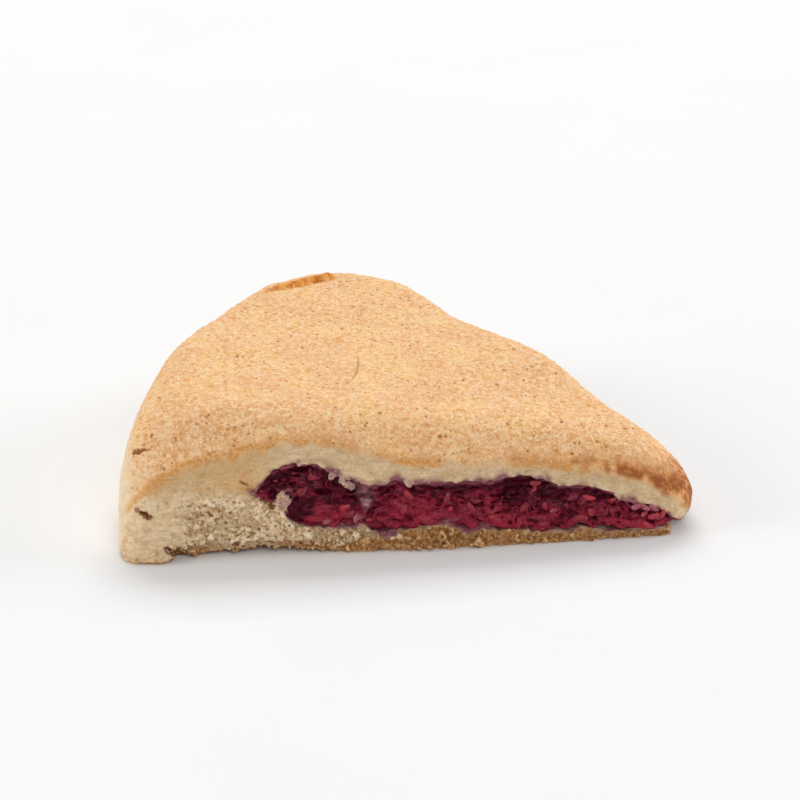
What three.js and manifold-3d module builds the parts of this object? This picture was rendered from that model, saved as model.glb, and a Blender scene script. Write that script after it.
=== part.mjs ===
// Raspberry scone wedge: one triangular piece of baked scone dough with a layer of
// cooked raspberries lying between its domed upper layer and its thin lower layer.
//
// Frame (millimetres, +Z up): the origin is at the centre of the footprint, on the
// table. The front cut face runs along X with the narrow pointed end towards +X and
// the rounded rim towards -X; the other cut face and the rim's far end lie towards +Y.
//
// The wedge is a sector of a flat round. WEDGE coordinates put the sector's sharp
// vertex at (0, 0); the front cut face follows y = 0 towards -x, the back cut face
// leaves the vertex at WEDGE_ANGLE, and the rim is the arc of radius RIM_RADIUS.

import * as THREE from 'three';
import { ParametricGeometry } from 'three/addons/geometries/ParametricGeometry.js';
import { mergeVertices } from 'three/addons/utils/BufferGeometryUtils.js';
import Module from 'manifold-3d';

// ---------------------------------------------------------------- plan outline
const RIM_RADIUS = 113.7;        // vertex to rim
const WEDGE_ANGLE = 61.3;        // degrees between the two cut faces
const APEX_ROUND = 14.9;         // softening length of the pointed end
const FRONT_CORNER_ROUND = 7.8;  // softening length where rim meets the front cut
const BACK_CORNER_ROUND = 20.5;  // softening length where rim meets the back cut
const FRONT_BOW = 1.9;           // outward bow of the front cut face

// ---------------------------------------------------------------- crown heights
const CROWN_RIM = 27.2;          // height of the dome towards the rim
const CROWN_APEX = 16.2;         // height of the dome towards the pointed end
const CROWN_SWELL = 0.5;         // extra swell half way along
const FRONT_SHOULDER = 15.7;     // width over which each edge rounds up to the dome
const BACK_SHOULDER = 12.5;
const RIM_SHOULDER = 10.9;
const FRONT_POWER = 2.6;         // superellipse powers: a cut face stands steeper
const BACK_POWER = 1.92;
const RIM_POWER = 1.88;
const CUT_SWELL_REACH = 20;      // reach of the swells listed below, from the edge

// swells and dips of the crown, [distance from the vertex, height] by the back cut
const BACK_SWELLS = [[0, -1.6], [15, -0.6], [30, -1.15], [45, 2.4], [60, 0.85], [75, -1.35], [90, -0.1], [110, -0.65]];
// and [share of the way round, height] by the rim, from the front corner to the back
const RIM_SWELLS = [[0, -2.0], [0.17, -0.8], [0.34, 1.1], [0.5, 0.2], [0.67, 1.1], [0.84, -0.9], [1, 0]];

// ---------------------------------------------------------------- foot
const TUCK_HEIGHT = 9;           // the wall draws in below this height
const TUCK_APEX = 3.6;           // draw-in under the pointed end
const TUCK_RIM = 1.25;           // draw-in under the rim
const FOOT_LIFT = 1.5;           // the front edge curls off the table here
const FOOT_LIFT_X = -91;
const FOOT_LIFT_REACH = 12;

// ---------------------------------------------------------------- berry layer
const FILL_END = 87.5;           // the rim is solid dough beyond this radius
const FILL_PINCH = 4.5;          // the layer thins over this length at its end
const FIT_GAP = 0.3;             // gap kept between the berries and the dough
// floor and roof of the layer, [distance from the vertex, height above the table]
const FLOOR_FRONT = [[0, 1.7], [12, 1.9], [20, 1.8], [35, 2.4], [50, 3.1], [60, 3.7], [70, 4.5], [80, 5.0], [90, 6.6]];
const ROOF_FRONT = [[0, 3.4], [10, 4.0], [14, 5.3], [19, 6.6], [24, 8.4], [32, 9.9], [38, 11.8], [44, 11.9], [52, 11.6], [62, 12.2], [68, 11.8], [74, 14.0], [79, 15.7], [84, 15.4], [90, 12.5]];
const FLOOR_BACK = [[0, 1.7], [14, 1.9], [30, 2.6], [45, 3.6], [58, 3.2], [72, 4.3], [90, 5.8]];
const ROOF_BACK = [[0, 3.4], [12, 4.4], [22, 7.2], [34, 9.6], [46, 12.4], [58, 11.4], [70, 13.0], [80, 14.2], [90, 11.5]];

// ---------------------------------------------------------------- mesh density
const AROUND = 92;               // steps round the outline
const WALL_STEPS = 9;            // steps from the foot up to the crown
const CROWN_STEPS = 5;           // steps from the shoulder to the middle of the crown
const FOOT_RINGS = [0.5, 0.9];   // rings of the underside, as shares of the outline
const FILL_LENGTHWISE = 34;
const FILL_CROSSWISE = 9;

// centre the footprint on the origin
const CENTRE_X = -59.693;
const CENTRE_Y = 45.392;

// ---------------------------------------------------------------- colours
const CRUST_COLOUR = 0xdcaa72;   // golden tan baked crust
const BERRY_COLOUR = 0x7a1a2c;   // deep cooked raspberry

const PHI = THREE.MathUtils.degToRad(WEDGE_ANGLE);
const HEART = new THREE.Vector2(-70, 28);   // the inside point everything radiates from
const clamp = THREE.MathUtils.clamp;

// Smooth curve through a table of [key, value] pairs, flat beyond its ends.
function along(table, key) {
  const n = table.length;
  if (key <= table[0][0]) return table[0][1];
  if (key >= table[n - 1][0]) return table[n - 1][1];
  let i = 0;
  while (key > table[i + 1][0]) i++;
  const slope = (k) => {
    const a = Math.max(k - 1, 0), b = Math.min(k + 1, n - 1);
    return (table[b][1] - table[a][1]) / (table[b][0] - table[a][0]);
  };
  const w = table[i + 1][0] - table[i][0];
  const s = (key - table[i][0]) / w;
  const s2 = s * s, s3 = s2 * s;
  return (2 * s3 - 3 * s2 + 1) * table[i][1] + (s3 - 2 * s2 + s) * w * slope(i)
    + (3 * s2 - 2 * s3) * table[i + 1][1] + (s3 - s2) * w * slope(i + 1);
}

function softMin(a, b, k) {
  const h = clamp(0.5 + 0.5 * (b - a) / k, 0, 1);
  return b * (1 - h) + a * h - k * h * (1 - h);
}

// Distances inside the outline, in wedge coordinates.
function insets(x, y) {
  const bow = FRONT_BOW * clamp((x + RIM_RADIUS - 25) / 25, 0, 1) * clamp(-x / 14, 0, 1);
  const front = y + bow;
  const back = -x * Math.sin(PHI) - y * Math.cos(PHI);
  const r = Math.hypot(x, y);
  const rim = RIM_RADIUS - r;
  const turn = clamp(Math.atan2(y, -x) / PHI, 0, 1);
  const cuts = softMin(front, back, APEX_ROUND);
  const edge = softMin(cuts, rim, THREE.MathUtils.lerp(FRONT_CORNER_ROUND, BACK_CORNER_ROUND, turn));
  return { front, back, rim, r, turn, edge };
}

// Shoulder width and superellipse power near a point, blended between the edges.
function shoulder(q) {
  const least = Math.min(q.front, q.back, q.rim);
  const f = Math.exp(-(q.front - least) / 4), b = Math.exp(-(q.back - least) / 4), m = Math.exp(-(q.rim - least) / 4);
  const sum = f + b + m;
  return {
    width: (f * FRONT_SHOULDER + b * BACK_SHOULDER + m * RIM_SHOULDER) / sum,
    power: (f * FRONT_POWER + b * BACK_POWER + m * RIM_POWER) / sum,
  };
}

// Height of the full dome over a point.
function crown(x, y, q) {
  const share = clamp(q.r / RIM_RADIUS, 0, 1);
  const reach = -x * Math.cos(PHI) + y * Math.sin(PHI);
  return CROWN_APEX + (CROWN_RIM - CROWN_APEX) * share + CROWN_SWELL * 4 * share * (1 - share)
    + along(BACK_SWELLS, reach) * Math.exp(-((q.back / CUT_SWELL_REACH) ** 2))
    + along(RIM_SWELLS, q.turn) * Math.exp(-((q.rim / CUT_SWELL_REACH) ** 2));
}

// Outline of the wedge as rays from HEART, spaced by length and by how fast it turns.
function outline(count) {
  const fine = 1440;
  const points = [];
  for (let i = 0; i < fine; i++) {
    const a = (i / fine) * Math.PI * 2;
    const dx = Math.cos(a), dy = Math.sin(a);
    let lo = 0, hi = 160;
    for (let k = 0; k < 40; k++) {
      const mid = (lo + hi) / 2;
      if (insets(HEART.x + dx * mid, HEART.y + dy * mid).edge > 0) lo = mid; else hi = mid;
    }
    points.push(new THREE.Vector2(HEART.x + dx * lo, HEART.y + dy * lo));
  }
  const cost = [0];
  for (let i = 0; i < fine; i++) {
    const a = points[(i + fine - 1) % fine], b = points[i], c = points[(i + 1) % fine];
    const t0 = b.clone().sub(a), t1 = c.clone().sub(b);
    const bend = Math.abs(Math.atan2(t0.x * t1.y - t0.y * t1.x, t0.dot(t1)));
    cost.push(cost[i] + t1.length() + 12 * bend);
  }
  const ring = [];
  let j = 0;
  for (let i = 0; i < count; i++) {
    const want = (i / count) * cost[fine];
    while (cost[j + 1] < want) j++;
    const s = (want - cost[j]) / (cost[j + 1] - cost[j]);
    ring.push(points[j].clone().lerp(points[(j + 1) % fine], s));
  }
  return ring;
}

// Point on the ray from HEART to an outline point where the shoulder share is met.
function onShoulder(rimPoint, share) {
  let lo = 0, hi = 1;
  for (let k = 0; k < 40; k++) {
    const mid = (lo + hi) / 2;
    const p = HEART.clone().lerp(rimPoint, mid);
    const q = insets(p.x, p.y);
    if (q.edge / shoulder(q).width > share) lo = mid; else hi = mid;
  }
  return lo;
}

// Whole wedge without the berry layer cut out of it.
function wedgeGeometry() {
  const ring = outline(AROUND);
  const rows = [];
  const below = FOOT_RINGS.length + 1;
  const total = below + WALL_STEPS + CROWN_STEPS;
  for (let j = 0; j <= total; j++) {
    rows.push(ring.map((edge) => {
      const lift = FOOT_LIFT * Math.exp(-(((edge.x - FOOT_LIFT_X) / FOOT_LIFT_REACH) ** 2))
        * clamp(1 - edge.y / 12, 0, 1);
      if (j === 0) return new THREE.Vector3(HEART.x, HEART.y, 0);
      let p, z;
      if (j <= FOOT_RINGS.length) {
        p = HEART.clone().lerp(edge, FOOT_RINGS[j - 1]);
        z = 0;
      } else if (j <= below + WALL_STEPS) {
        const a = ((j - below) / WALL_STEPS) * Math.PI / 2;
        let f = 1;
        for (let k = 0; k < 3; k++) {
          const here = HEART.clone().lerp(edge, f);
          const power = shoulder(insets(here.x, here.y)).power;
          f = a === 0 ? 1 : onShoulder(edge, 1 - Math.cos(a) ** (2 / power));
        }
        p = HEART.clone().lerp(edge, f);
        const q = insets(p.x, p.y);
        z = a === 0 ? lift : crown(p.x, p.y, q) * Math.sin(a) ** (2 / shoulder(q).power);
      } else {
        const left = (total - j) / CROWN_STEPS;
        const f = onShoulder(edge, 1) * left;
        p = HEART.clone().lerp(edge, f);
        z = crown(p.x, p.y, insets(p.x, p.y));
      }
      // draw the foot in under the pointed end and under the rim
      const q = insets(p.x, p.y);
      const low = clamp(1 - z / TUCK_HEIGHT, 0, 1) ** 1.5;
      const tuck = low * (TUCK_APEX * Math.exp(-((q.r / 12) ** 2)) + TUCK_RIM * Math.exp(-((q.rim / 8) ** 2)));
      const inward = HEART.clone().sub(p);
      if (inward.length() > 1) p.add(inward.normalize().multiplyScalar(tuck));
      return new THREE.Vector3(p.x, p.y, z);
    }));
  }
  return new ParametricGeometry((u, v, target) => {
    target.copy(rows[Math.round(v * total)][Math.round(u * AROUND) % AROUND]);
  }, AROUND, total);
}

// Floor (side < 0) or roof (side > 0) of the berry layer at a point, opened by grow.
function layerHeight(x, y, side, grow, end) {
  const r = Math.hypot(x, y);
  const turn = clamp(Math.atan2(y, -x) / PHI, 0, 1);
  const across = turn * turn * (3 - 2 * turn);
  const floor = THREE.MathUtils.lerp(along(FLOOR_FRONT, r), along(FLOOR_BACK, r), across);
  const roof = THREE.MathUtils.lerp(along(ROOF_FRONT, r), along(ROOF_BACK, r), across);
  const middle = (floor + roof) / 2;
  const close = clamp((end - r) / FILL_PINCH, 0, 1);
  const half = (roof - floor) / 2 * (0.4 + 0.6 * Math.sqrt(1 - (1 - close) ** 2)) + grow;
  return side > 0 ? middle + half : middle - half;
}

// The berry layer as a block that reaches past both cut faces and past the point.
function layerGeometry(grow) {
  const end = FILL_END + grow;
  const start = -3;
  const bisector = new THREE.Vector2(-Math.cos(PHI / 2), Math.sin(PHI / 2));
  const sideways = new THREE.Vector2(bisector.y, -bisector.x);
  const block = new THREE.BoxGeometry(1, 1, 1, FILL_LENGTHWISE, FILL_CROSSWISE, 1);
  const position = block.getAttribute('position');
  for (let i = 0; i < position.count; i++) {
    const run = position.getX(i) + 0.5;
    const plain = THREE.MathUtils.lerp(start, end, run);
    const q = position.getY(i) * 2 * (Math.max(plain, 0) * Math.tan(PHI / 2) + 13);
    const reach = Math.sqrt(end * end - q * q);
    const p = start + (plain - start) * (reach - start) / (end - start);
    const x = bisector.x * p + sideways.x * q;
    const y = bisector.y * p + sideways.y * q;
    position.setXYZ(i, x, y, layerHeight(x, y, position.getZ(i), grow, end));
  }
  return block;
}

// ---------------------------------------------------------------- solids
const wasm = await Module();
wasm.setup();

function toSolid(geometry) {
  geometry.deleteAttribute('normal');
  geometry.deleteAttribute('uv');
  geometry.clearGroups();
  const merged = mergeVertices(geometry, 1e-4);
  const index = merged.index.array;
  const kept = [];
  for (let i = 0; i < index.length; i += 3) {
    const [a, b, c] = [index[i], index[i + 1], index[i + 2]];
    if (a !== b && b !== c && c !== a) kept.push(a, b, c);
  }
  const position = merged.getAttribute('position').array;
  const volume = (order) => {
    const [p, q, r] = [new THREE.Vector3(), new THREE.Vector3(), new THREE.Vector3()];
    let sum = 0;
    for (let i = 0; i < order.length; i += 3) {
      p.fromArray(position, order[i] * 3);
      q.fromArray(position, order[i + 1] * 3);
      r.fromArray(position, order[i + 2] * 3);
      sum += p.dot(q.cross(r)) / 6;
    }
    return sum;
  };
  if (volume(kept) < 0) for (let i = 0; i < kept.length; i += 3) [kept[i], kept[i + 1]] = [kept[i + 1], kept[i]];
  return new wasm.Manifold(new wasm.Mesh({
    numProp: 3,
    vertProperties: new Float32Array(position),
    triVerts: new Uint32Array(kept),
  }));
}

function toGeometry(solid) {
  const mesh = solid.getMesh();
  const geometry = new THREE.BufferGeometry();
  const corners = new Float32Array(mesh.numVert * 3);
  for (let i = 0; i < mesh.numVert; i++) {
    for (let k = 0; k < 3; k++) corners[i * 3 + k] = mesh.vertProperties[i * mesh.numProp + k];
  }
  geometry.setAttribute('position', new THREE.BufferAttribute(corners, 3));
  geometry.setIndex(new THREE.BufferAttribute(new Uint32Array(mesh.triVerts), 1));
  geometry.computeVertexNormals();
  return geometry;
}

const wedge = toSolid(wedgeGeometry());
const dough = toGeometry(wedge.subtract(toSolid(layerGeometry(FIT_GAP))));
const berries = toGeometry(wedge.intersect(toSolid(layerGeometry(0))));

// ---------------------------------------------------------------- scene graph
const scone = new THREE.Group();
scone.name = 'raspberry_scone';

const doughMesh = new THREE.Mesh(dough, new THREE.MeshStandardMaterial({
  color: CRUST_COLOUR, roughness: 0.85, metalness: 0,
}));
doughMesh.name = 'scone_dough';
doughMesh.position.set(-CENTRE_X, -CENTRE_Y, 0);
scone.add(doughMesh);

const berryMesh = new THREE.Mesh(berries, new THREE.MeshStandardMaterial({
  color: BERRY_COLOUR, roughness: 0.35, metalness: 0,
}));
berryMesh.name = 'raspberry_filling';
berryMesh.position.set(-CENTRE_X, -CENTRE_Y, 0);
scone.add(berryMesh);

export default scone;
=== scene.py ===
import math
import time

import bpy
import numpy as np
import openvdb
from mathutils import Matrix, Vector


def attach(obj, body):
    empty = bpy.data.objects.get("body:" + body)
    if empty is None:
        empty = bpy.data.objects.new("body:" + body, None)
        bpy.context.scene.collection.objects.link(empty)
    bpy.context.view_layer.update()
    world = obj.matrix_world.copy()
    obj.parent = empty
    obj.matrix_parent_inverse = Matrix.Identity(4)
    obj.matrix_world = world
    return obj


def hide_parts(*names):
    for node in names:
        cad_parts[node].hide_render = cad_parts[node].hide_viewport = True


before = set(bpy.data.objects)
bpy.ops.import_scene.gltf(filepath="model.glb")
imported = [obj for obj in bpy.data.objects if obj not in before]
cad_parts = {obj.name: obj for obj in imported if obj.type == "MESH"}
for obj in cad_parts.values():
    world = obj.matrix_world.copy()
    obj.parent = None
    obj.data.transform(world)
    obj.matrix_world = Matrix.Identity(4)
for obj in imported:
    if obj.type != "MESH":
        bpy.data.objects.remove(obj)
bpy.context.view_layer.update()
T_START = time.time()

# ---------------------------------------------------------------------------
# The scone's shape, in millimetres. WEDGE coordinates put the sharp vertex of the
# sector at (0, 0), the front cut face along y = 0 towards -x and z = 0 on the table.
# ---------------------------------------------------------------------------
RIM_RADIUS, WEDGE_ANGLE = 113.7, 61.3
APEX_ROUND, FRONT_CORNER_ROUND, BACK_CORNER_ROUND, FRONT_BOW = 14.9, 7.8, 20.5, 1.9
CROWN_RIM, CROWN_APEX, CROWN_SWELL = 27.2, 16.2, 0.5
FRONT_SHOULDER, BACK_SHOULDER, RIM_SHOULDER = 15.7, 12.5, 10.9
FRONT_POWER, BACK_POWER, RIM_POWER = 2.6, 1.92, 1.88
CUT_SWELL_REACH = 20.0
BACK_SWELLS = [(0, -1.6), (15, -0.6), (30, -1.15), (45, 2.4), (60, 0.85), (75, -1.35), (90, -0.1), (110, -0.65)]
RIM_SWELLS = [(0, -2.0), (0.17, -0.8), (0.34, 1.1), (0.5, 0.2), (0.67, 1.1), (0.84, -0.9), (1, 0)]
TUCK_HEIGHT, TUCK_APEX, TUCK_RIM = 9.0, 3.6, 1.25
FOOT_LIFT, FOOT_LIFT_X, FOOT_LIFT_REACH = 1.7, -87.0, 9.5
TABLE_GAP = 0.00004                                         # metres
FILL_END, FILL_PINCH = 87.5, 4.5
FLOOR_FRONT = [(0, 1.7), (12, 1.9), (20, 1.8), (35, 2.4), (50, 3.1), (60, 3.7), (70, 4.5), (80, 5.0), (90, 6.6)]
ROOF_FRONT = [(0, 3.4), (10, 4.0), (14, 5.3), (19, 6.6), (24, 8.4), (32, 9.9), (38, 11.8), (44, 11.9), (52, 11.6),
              (62, 12.2), (68, 11.8), (74, 14.0), (79, 15.7), (84, 15.4), (90, 12.5)]
FLOOR_BACK = [(0, 1.7), (14, 1.9), (30, 2.6), (45, 3.6), (58, 3.2), (72, 4.3), (90, 5.8)]
ROOF_BACK = [(0, 3.4), (12, 4.4), (22, 7.2), (34, 9.6), (46, 12.4), (58, 11.4), (70, 13.0), (80, 14.2), (90, 11.5)]
CENTRE = np.array([-59.693, 45.392, 0.0])     # wedge coordinates of the row's origin
PHI = math.radians(WEDGE_ANGLE)

# the berry layer's edges as they run along the front cut, (-x, z)
ROOF_CUT = [(9.0, 1.3), (10.7, 1.8), (12.5, 3.5), (14.2, 5.2), (18, 6.2), (21.9, 7.1), (24, 8.8), (27.5, 9.5), (30.6, 9.8), (33.2, 9.8),
            (34.9, 10.9), (38.2, 12.1), (42.8, 12.1), (45.2, 11.5), (50.5, 11.6), (55, 11.7), (60.7, 11.8), (62.9, 12.7),
            (64.4, 11.8), (67.7, 11.6), (69.8, 12.3), (73.5, 13.8), (76.7, 15.6), (80, 15.9), (82.5, 15.7), (85.2, 14.5), (87.5, 12.0), (88.6, 10.9)]
FLOOR_CUT = [(9.0, 1.25), (10.7, 1.6), (12.6, 1.95), (16.9, 1.6), (22.5, 1.8), (29, 2.5), (34.4, 2.0), (39.8, 2.9), (44.2, 2.6),
             (47.5, 4.0), (49.5, 2.9), (53.9, 4.9), (58.1, 3.8), (63.6, 3.7), (67.3, 3.3), (68.6, 5.2), (72.5, 4.6),
             (77.4, 4.5), (80.5, 5.1), (82.6, 6.6), (83.8, 9.0), (86.0, 9.9), (88.6, 10.7)]

# where the golden crust gives way to pale crumb on the front cut, (-x, z)
CRUST_FRONT = [(6, 3.0), (9, 4.5), (12, 7.0), (17.3, 9.9), (25, 12.1), (35, 13.7), (41, 14.2), (53, 15.1),
               (58, 15.4), (63, 16.2), (69, 17.7), (77, 19.4), (83, 19.5), (88, 18.9), (94, 17.7), (100, 16.7), (104, 15.0),
               (107, 13.4), (109.5, 10.6), (112, 7.0)]
CRUST_BACK = [(6, 4.0), (14, 9.5), (28, 13.2), (42, 16.0), (56, 17.2), (70, 17.6), (84, 18.6), (96, 18.0), (106, 15.0)]


def along(tab, key):
    k = np.array([t[0] for t in tab], float)
    v = np.array([t[1] for t in tab], float)
    n = len(k)
    m = np.empty(n)
    for i in range(n):
        a, b = max(i - 1, 0), min(i + 1, n - 1)
        m[i] = (v[b] - v[a]) / (k[b] - k[a])
    q = np.clip(key, k[0], k[-1])
    i = np.clip(np.searchsorted(k, q, side="right") - 1, 0, n - 2)
    w = k[i + 1] - k[i]
    s = (q - k[i]) / w
    s2, s3 = s * s, s * s * s
    return ((2 * s3 - 3 * s2 + 1) * v[i] + (s3 - 2 * s2 + s) * w * m[i]
            + (3 * s2 - 2 * s3) * v[i + 1] + (s3 - s2) * w * m[i + 1])


def smin(a, b, k):
    h = np.clip(0.5 + 0.5 * (b - a) / k, 0, 1)
    return b * (1 - h) + a * h - k * h * (1 - h)


def smax(a, b, k):
    return -smin(-a, -b, k)


def step(lo, hi, x):
    t = np.clip((x - lo) / (hi - lo), 0, 1)
    return t * t * (3 - 2 * t)


def lerp(a, b, t):
    return a + (b - a) * t


def plan(x, y):
    """Everything that depends only on the place in plan."""
    bow = FRONT_BOW * np.clip((x + RIM_RADIUS - 25) / 25, 0, 1) * np.clip(-x / 14, 0, 1)
    front = y + bow
    back = -x * math.sin(PHI) - y * math.cos(PHI)
    r = np.hypot(x, y)
    rim = RIM_RADIUS - r
    turn = np.clip(np.arctan2(y, -x) / PHI, 0, 1)
    cuts = smin(front, back, APEX_ROUND)
    edge = smin(cuts, rim, lerp(FRONT_CORNER_ROUND, BACK_CORNER_ROUND, turn))
    base = smin(cuts, rim, lerp(8.5, BACK_CORNER_ROUND, turn))
    least = np.minimum(np.minimum(front, back), rim)
    f, b, m = (np.exp(-np.clip(q - least, 0, 60) / 4) for q in (front, back, rim))
    s = f + b + m
    f, b, m = f / s, b / s, m / s
    width = f * FRONT_SHOULDER + b * BACK_SHOULDER + m * RIM_SHOULDER
    power = f * FRONT_POWER + b * BACK_POWER + m * RIM_POWER
    share = np.clip(r / RIM_RADIUS, 0, 1)
    reach = -x * math.cos(PHI) + y * math.sin(PHI)
    crown = (CROWN_APEX + (CROWN_RIM - CROWN_APEX) * share + CROWN_SWELL * 4 * share * (1 - share)
             + along(BACK_SWELLS, reach) * np.exp(-(back / CUT_SWELL_REACH) ** 2)
             + along(RIM_SWELLS, turn) * np.exp(-(rim / CUT_SWELL_REACH) ** 2))
    tuck = TUCK_APEX * np.exp(-(r / 12) ** 2) + TUCK_RIM * np.exp(-(rim / 8) ** 2)
    across = turn * turn * (3 - 2 * turn)
    floor = lerp(along(FLOOR_FRONT, r), along(FLOOR_BACK, r), across)
    roof = lerp(along(ROOF_FRONT, r), along(ROOF_BACK, r), across)
    return dict(front=front, back=back, rim=rim, r=r, turn=turn, edge=edge, base=base, f=f, b=b, m=m, width=width,
                power=power, crown=crown, tuck=tuck, floor=floor, roof=roof, reach=reach)


# ---------------------------------------------------------------------------
# Noise
# ---------------------------------------------------------------------------
rng = np.random.default_rng(7411)
LATTICE = (rng.random(64 ** 3).astype(np.float32) * 2 - 1)


def noise(x, y, z, scale, seed=0, stretch=(1, 1, 1)):
    """Smooth value noise in -1..1; scale is the cell size in millimetres."""
    o = (seed * 17.37 + 3.1, seed * 9.71 + 40.7, seed * 5.13 + 11.9)
    cells = []
    for c, off, st in zip((x, y, z), o, stretch):
        q = c / (scale * st) + off
        i = np.floor(q)
        t = (q - i).astype(np.float32)
        i = i.astype(np.int64)
        cells.append((i & 63, (i + 1) & 63, t * t * t * (t * (t * 6 - 15) + 10)))
    (x0, x1, tx), (y0, y1, ty), (z0, z1, tz) = cells
    out = 0
    for xi, wx in ((x0, 1 - tx), (x1, tx)):
        for yi, wy in ((y0, 1 - ty), (y1, ty)):
            base = (xi * 64 + yi) * 64
            w = wx * wy
            out = out + w * ((1 - tz) * LATTICE[base + z0] + tz * LATTICE[base + z1])
    return out


# ---------------------------------------------------------------------------
# Volumes: a dense grid of signed distances, meshed at zero
# ---------------------------------------------------------------------------
class Grid:
    def __init__(self, lo, hi, pitch):
        self.lo, self.h = np.array(lo, float), pitch
        self.n = tuple(int(round((b - a) / pitch)) + 1 for a, b in zip(lo, hi))
        self.ax = [self.lo[i] + pitch * np.arange(self.n[i]) for i in range(3)]

    def block(self, c, reach):
        """Slices and coordinates of the part of the grid within reach of a point."""
        s = []
        for i in range(3):
            a = int(math.floor((c[i] - reach[i] - self.lo[i]) / self.h))
            b = int(math.ceil((c[i] + reach[i] - self.lo[i]) / self.h)) + 1
            a, b = max(a, 0), min(b, self.n[i])
            if a >= b:
                return None
            s.append(slice(a, b))
        x = self.ax[0][s[0]][:, None, None]
        y = self.ax[1][s[1]][None, :, None]
        z = self.ax[2][s[2]][None, None, :]
        return tuple(s), x, y, z

    def sample(self, field, p):
        """Trilinear value of a field at points."""
        q = (p - self.lo) / self.h
        i = np.clip(np.floor(q).astype(int), 0, np.array(self.n) - 2)
        t = np.clip(q - i, 0, 1)
        out = 0
        for a in (0, 1):
            for b in (0, 1):
                for c in (0, 1):
                    w = ((t[:, 0] if a else 1 - t[:, 0]) * (t[:, 1] if b else 1 - t[:, 1])
                         * (t[:, 2] if c else 1 - t[:, 2]))
                    out = out + w * field[i[:, 0] + a, i[:, 1] + b, i[:, 2] + c]
        return out


def blob(grid, field, c, radii, k, axes=None, carve=False, dark=None, strength=1.0):
    """Adds (or carves) one soft ellipsoid in the field, and darkens dark round it."""
    reach = (max(radii) + 2.5 * grid.h + k,) * 3
    got = grid.block(c, reach)
    if got is None:
        return
    s, x, y, z = got
    dx, dy, dz = x - c[0], y - c[1], z - c[2]
    if axes is not None:
        u = [a[0] * dx + a[1] * dy + a[2] * dz for a in axes]
    else:
        u = [dx, dy, dz]
    q = np.sqrt((u[0] / radii[0]) ** 2 + (u[1] / radii[1]) ** 2 + (u[2] / radii[2]) ** 2)
    d = ((q - 1) * min(radii)).astype(np.float32)
    if carve:
        field[s] = smax(field[s], -d, k)
    else:
        field[s] = smin(field[s], d, k)
    if dark is not None:
        dark[s] = np.maximum(dark[s], strength * np.exp(-np.clip(q - 1, 0, 9) ** 2 * 6.0))


def spin(r):
    """A random set of three perpendicular directions."""
    q = r.normal(size=4)
    w, a, b, c = q / np.linalg.norm(q)
    return np.array([[1 - 2 * (b * b + c * c), 2 * (a * b - c * w), 2 * (a * c + b * w)],
                     [2 * (a * b + c * w), 1 - 2 * (a * a + c * c), 2 * (b * c - a * w)],
                     [2 * (a * c - b * w), 2 * (b * c + a * w), 1 - 2 * (a * a + b * b)]])


def mesh_volume(grid, field):
    """Vertices and quads of the field's zero surface, biggest closed body only."""
    vdb = openvdb.FloatGrid(3.0)
    vdb.copyFromArray(np.ascontiguousarray(field, dtype=np.float32))
    points, quads = vdb.convertToQuads(0.0)
    quads = quads[:, ::-1].astype(np.int64)
    n = len(points)
    corner = quads.ravel()
    order = np.argsort(corner, kind="stable")
    owner = (order // 4)
    first = np.concatenate([[0], np.nonzero(np.diff(corner[order]))[0] + 1])
    who = corner[order][first]
    label = np.arange(n)
    while True:
        low = label[quads].min(axis=1)
        fresh = label.copy()
        fresh[who] = np.minimum(label[who], np.minimum.reduceat(low[owner], first))
        fresh = fresh[fresh]
        fresh = fresh[fresh]
        if (fresh == label).all():
            break
        label = fresh
    a = quads[:, 0]
    face = label[a]
    ids, counts = np.unique(face, return_counts=True)
    keep = face == ids[counts.argmax()]
    quads = quads[keep]
    used, inverse = np.unique(quads, return_inverse=True)
    quads = inverse.reshape(quads.shape)
    pts = points[used].astype(float) * grid.h + grid.lo
    return pts, quads


def vertex_normals(pts, quads):
    p = pts[quads]
    fn = np.cross(p[:, 2] - p[:, 0], p[:, 3] - p[:, 1])
    out = np.zeros_like(pts)
    for k in range(4):
        np.add.at(out, quads[:, k], fn)
    return out / np.maximum(np.linalg.norm(out, axis=1, keepdims=True), 1e-12)


def make_object(name, pts_mm, faces, smooth=True, layers=None, corners=4, uv=None):
    """A mesh object from wedge-coordinate millimetres; layers are per-vertex numbers."""
    me = bpy.data.meshes.new(name)
    pts = (pts_mm - CENTRE) * 0.001
    low = pts[:, 2] < TABLE_GAP                             # eased up so that nothing sinks into the table
    pts[low, 2] = TABLE_GAP ** 2 / (2 * TABLE_GAP - pts[low, 2])
    me.vertices.add(len(pts))
    me.vertices.foreach_set("co", pts.astype(np.float32).ravel())
    me.loops.add(len(faces) * corners)
    me.loops.foreach_set("vertex_index", faces.astype(np.int32).ravel())
    me.polygons.add(len(faces))
    me.polygons.foreach_set("loop_start", (np.arange(len(faces)) * corners).astype(np.int32))
    me.update(calc_edges=True)
    me.polygons.foreach_set("use_smooth", np.full(len(faces), smooth, dtype=bool))
    for key, values in (layers or {}).items():
        at = me.attributes.new(key, "FLOAT", "POINT")
        at.data.foreach_set("value", values.astype(np.float32))
    if uv is not None:
        layer = me.uv_layers.new(name="OFBake")
        layer.data.foreach_set("uv", uv.astype(np.float32).ravel())
    me.validate()
    ob = bpy.data.objects.new(name, me)
    bpy.context.scene.collection.objects.link(ob)
    return ob


def say(what):
    print(f"[{time.time() - T_START:6.1f}s] {what}", flush=True)


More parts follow.
